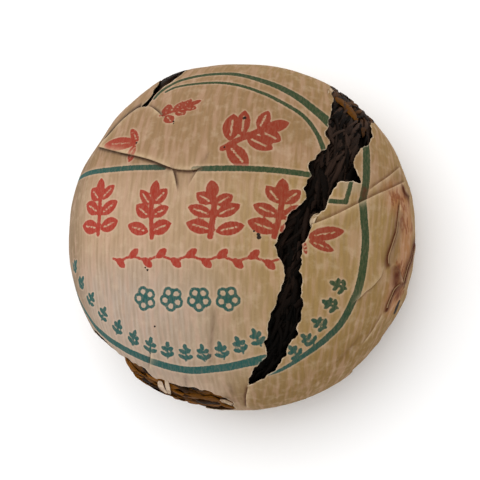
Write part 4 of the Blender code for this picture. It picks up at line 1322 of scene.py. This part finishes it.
def paper_print(paint, uv, slant, wobble):
    """The print, with soft uneven edges, a pale halo and paper showing through the ink."""
    worn = paint.fade(paint.noise(uv, 1.1, 4.0, 0.7, (1.8, 0.6, 1.0)), 0.3, 0.62, 0.85, 0.99)
    for name, first, second in INKS:
        gap = paint.plus(paint.attribute(name), wobble)
        paint.coat(paint.fade(gap, 0.1, 0.7, 0.22, 0.0), srgb(206, 176, 152))
        tone = paint.blend(paint.fade(slant, -36.0, 24.0), srgb(*first), srgb(*second))
        paint.coat(paint.times(paint.fade(gap, -0.1, 0.12, 1.0, 0.0), worn), tone)
    rust = paint.fade(paint.plus(paint.attribute("rust"), wobble), -0.25, 0.25, 1.0, 0.0)
    paint.coat(paint.times(rust, 0.75), srgb(114, 54, 20))


def paper_wear(paint, uv, right, clouds, wobble):
    """Holes, painted highlight on the crests, painted shade in the folds, pale torn edges and the plain
    back.
    """
    for centre, radius in HOLES:
        gap = paint.plus(paint.distance(uv, (*centre, 0.0)), paint.times(wobble, 1.5))
        paint.coat(paint.fade(gap, 0.85 * radius, 1.2 * radius, 0.97, 0.0), srgb(20, 10, 7))
    # Painted highlight along the fold crests
    crest = paint.times(paint.attribute("fold_painted_highlight"), paint.fade(clouds, 0.3, 0.6, 0.25, 0.7))
    paint.coat(crest, srgb(204, 178, 144))
    # Painted shade below the folds, beside them and in the dents, browner at the right
    painted_shade_share = paint.times(paint.attribute("fold_painted_shade"), paint.fade(clouds, 0.3, 0.6, 0.8, 1.1))
    paint.coat(painted_shade_share, paint.blend(right, srgb(46, 27, 14), srgb(76, 30, 5)))
    edge = paint.plus(paint.attribute("rim"), paint.times(wobble, 1.6))
    broken = paint.fade(paint.noise(uv, 0.5, 2.0), 0.35, 0.65, 0.15, 0.7)
    paint.coat(paint.times(paint.fade(edge, 0.02, 0.34, 1.0, 0.0), broken), srgb(206, 186, 160))
    paint.coat(paint.attribute("back"), srgb(150, 122, 88))


def paper_material():
    """Old cotton paper: warm and ribbed, printed in green and red, pale along its tears."""
    paint = Shading("printed_paper")
    uv, across, up = paint.paper_places()
    clouds = paint.noise(uv, 0.35, 4.0, 0.6)
    wobble = paint.times(paint.math("SUBTRACT", paint.noise(uv, 1.7, 3.0, 0.6), 0.5), 0.42)
    right = paper_ground(paint, uv, across, up)
    grain = paper_grain(paint, uv, across, clouds)
    paper_print(paint, uv, paint.plus(up, across), wobble)
    paper_wear(paint, uv, right, clouds, wobble)
    fibres = paint.noise(paint.body_places(), 2600.0, 3.0, 0.6, (1.0, 0.35, 1.0))
    bump = paint.plus(grain, paint.times(fibres, 0.8))
    return paint.finish(paint.fade(clouds, 0.2, 0.8, 0.8, 0.95), 0.2, bump, 0.03 * MM)


def tea_material():
    """Pressed aged tea: near black with a dull sheen and painted highlight and shade; golden brown where the
    gold value says.
    """
    paint = Shading("pressed_tea")
    uv, _, up = paint.paper_places()
    grain = paint.noise(uv, 1.6, 4.0, 0.65)
    mixed = paint.plus(paint.times(paint.attribute("tint"), 0.6), paint.times(grain, 0.5))
    # The leaves' lighter tone, raised towards the top of the tear as painted highlight
    light = paint.blend(paint.fade(up, 0.0, 28.0), srgb(36, 24, 18), srgb(56, 41, 33))
    paint.colour = paint.blend(paint.fade(mixed, 0.3, 0.9), srgb(7, 4, 2), light)
    # Painted shade: near black over the lower part, where the tear narrows
    paint.coat(paint.fade(up, -30.0, -6.0, 0.85, 0.0), srgb(2, 2, 1))
    golden = paint.blend(paint.fade(mixed, 0.25, 0.95), srgb(27, 12, 2), srgb(114, 69, 12))
    paint.coat(paint.attribute("gold"), golden)
    fine = paint.noise(paint.body_places(), 1500.0, 4.0, 0.6)
    return paint.finish(paint.fade(grain, 0.3, 0.7, 0.5, 0.8), 0.04, fine, 0.12 * MM)


def floor_material():
    """A plain pale floor with a barely uneven finish."""
    paint = Shading("pale_floor")
    cloud = paint.noise(paint.body_places(), 3.0, 2.0)
    paint.colour = paint.blend(cloud, (0.93, 0.93, 0.93, 1.0), (0.95, 0.95, 0.95, 1.0))
    return paint.finish(0.9, 0.5, cloud, 0.01 * MM)


def make_floor():
    """The plain pale floor under the object."""
    mesh = bpy.data.meshes.new("floor")
    signs = ((-1, -1), (1, -1), (1, 1), (-1, 1))
    corners = [(across * FLOOR_HALF, up * FLOOR_HALF, 0.0) for across, up in signs]
    mesh.from_pydata(corners, [], [(0, 1, 2, 3)])
    mesh.materials.append(floor_material())
    add_object("floor", mesh)


def make_light(name, place, size, power):
    """A soft square studio light that faces the object."""
    data = bpy.data.lights.new(name, "AREA")
    data.size = size
    data.energy = power
    light = add_object(name, data)
    light.location = place
    light.rotation_euler = (Vector(LIGHT_TARGET) - Vector(place)).to_track_quat("-Z", "Y").to_euler()


def make_world():
    """Plain white light from all round."""
    world = bpy.data.worlds.new("studio")
    world.use_nodes = True
    background = world.node_tree.nodes["Background"]
    background.inputs["Color"].default_value = (1.0, 1.0, 1.0, 1.0)
    background.inputs["Strength"].default_value = WORLD_LIGHT
    bpy.context.scene.world = world


def make_camera():
    """The photograph's view: steeply down, with its own turn and framing."""
    tilt, azimuth, turn = (math.radians(angle) for angle in (CAMERA_TILT, CAMERA_AZIMUTH, CAMERA_TURN))
    back = Vector((math.sin(tilt) * math.cos(azimuth), math.sin(tilt) * math.sin(azimuth), math.cos(tilt)))
    upright = Vector((-math.sin(turn), math.cos(turn), 0.0))
    right = upright.cross(back).normalized()
    up = back.cross(right)
    data = bpy.data.cameras.new("camera")
    data.sensor_width = SENSOR
    data.lens = FOCAL_PIXELS * SENSOR / IMAGE_SIZE
    data.shift_x = 0.5 - PRINCIPAL_PIXEL[0] / IMAGE_SIZE
    data.shift_y = PRINCIPAL_PIXEL[1] / IMAGE_SIZE - 0.5
    camera = add_object("camera", data)
    camera.rotation_mode = "QUATERNION"
    camera.rotation_quaternion = Matrix((right, up, back)).transposed().to_quaternion()
    camera.location = (Vector(CAMERA_TARGET) + back * CAMERA_DISTANCE) * MM
    bpy.context.scene.camera = camera


def main():
    """Builds the object, its floor, the lights and the camera."""
    outlines = torn_outlines()
    paper = paper_material()
    make_wrapper(outlines, paper)
    make_shreds(paper)
    tea = tea_material()
    make_core(outlines, tea)
    make_leaves(outlines, tea)
    make_floor()
    make_world()
    for name, settings in LIGHTS.items():
        make_light(name, *settings)
    make_camera()
    bpy.context.scene.view_settings.view_transform = "Standard"


main()
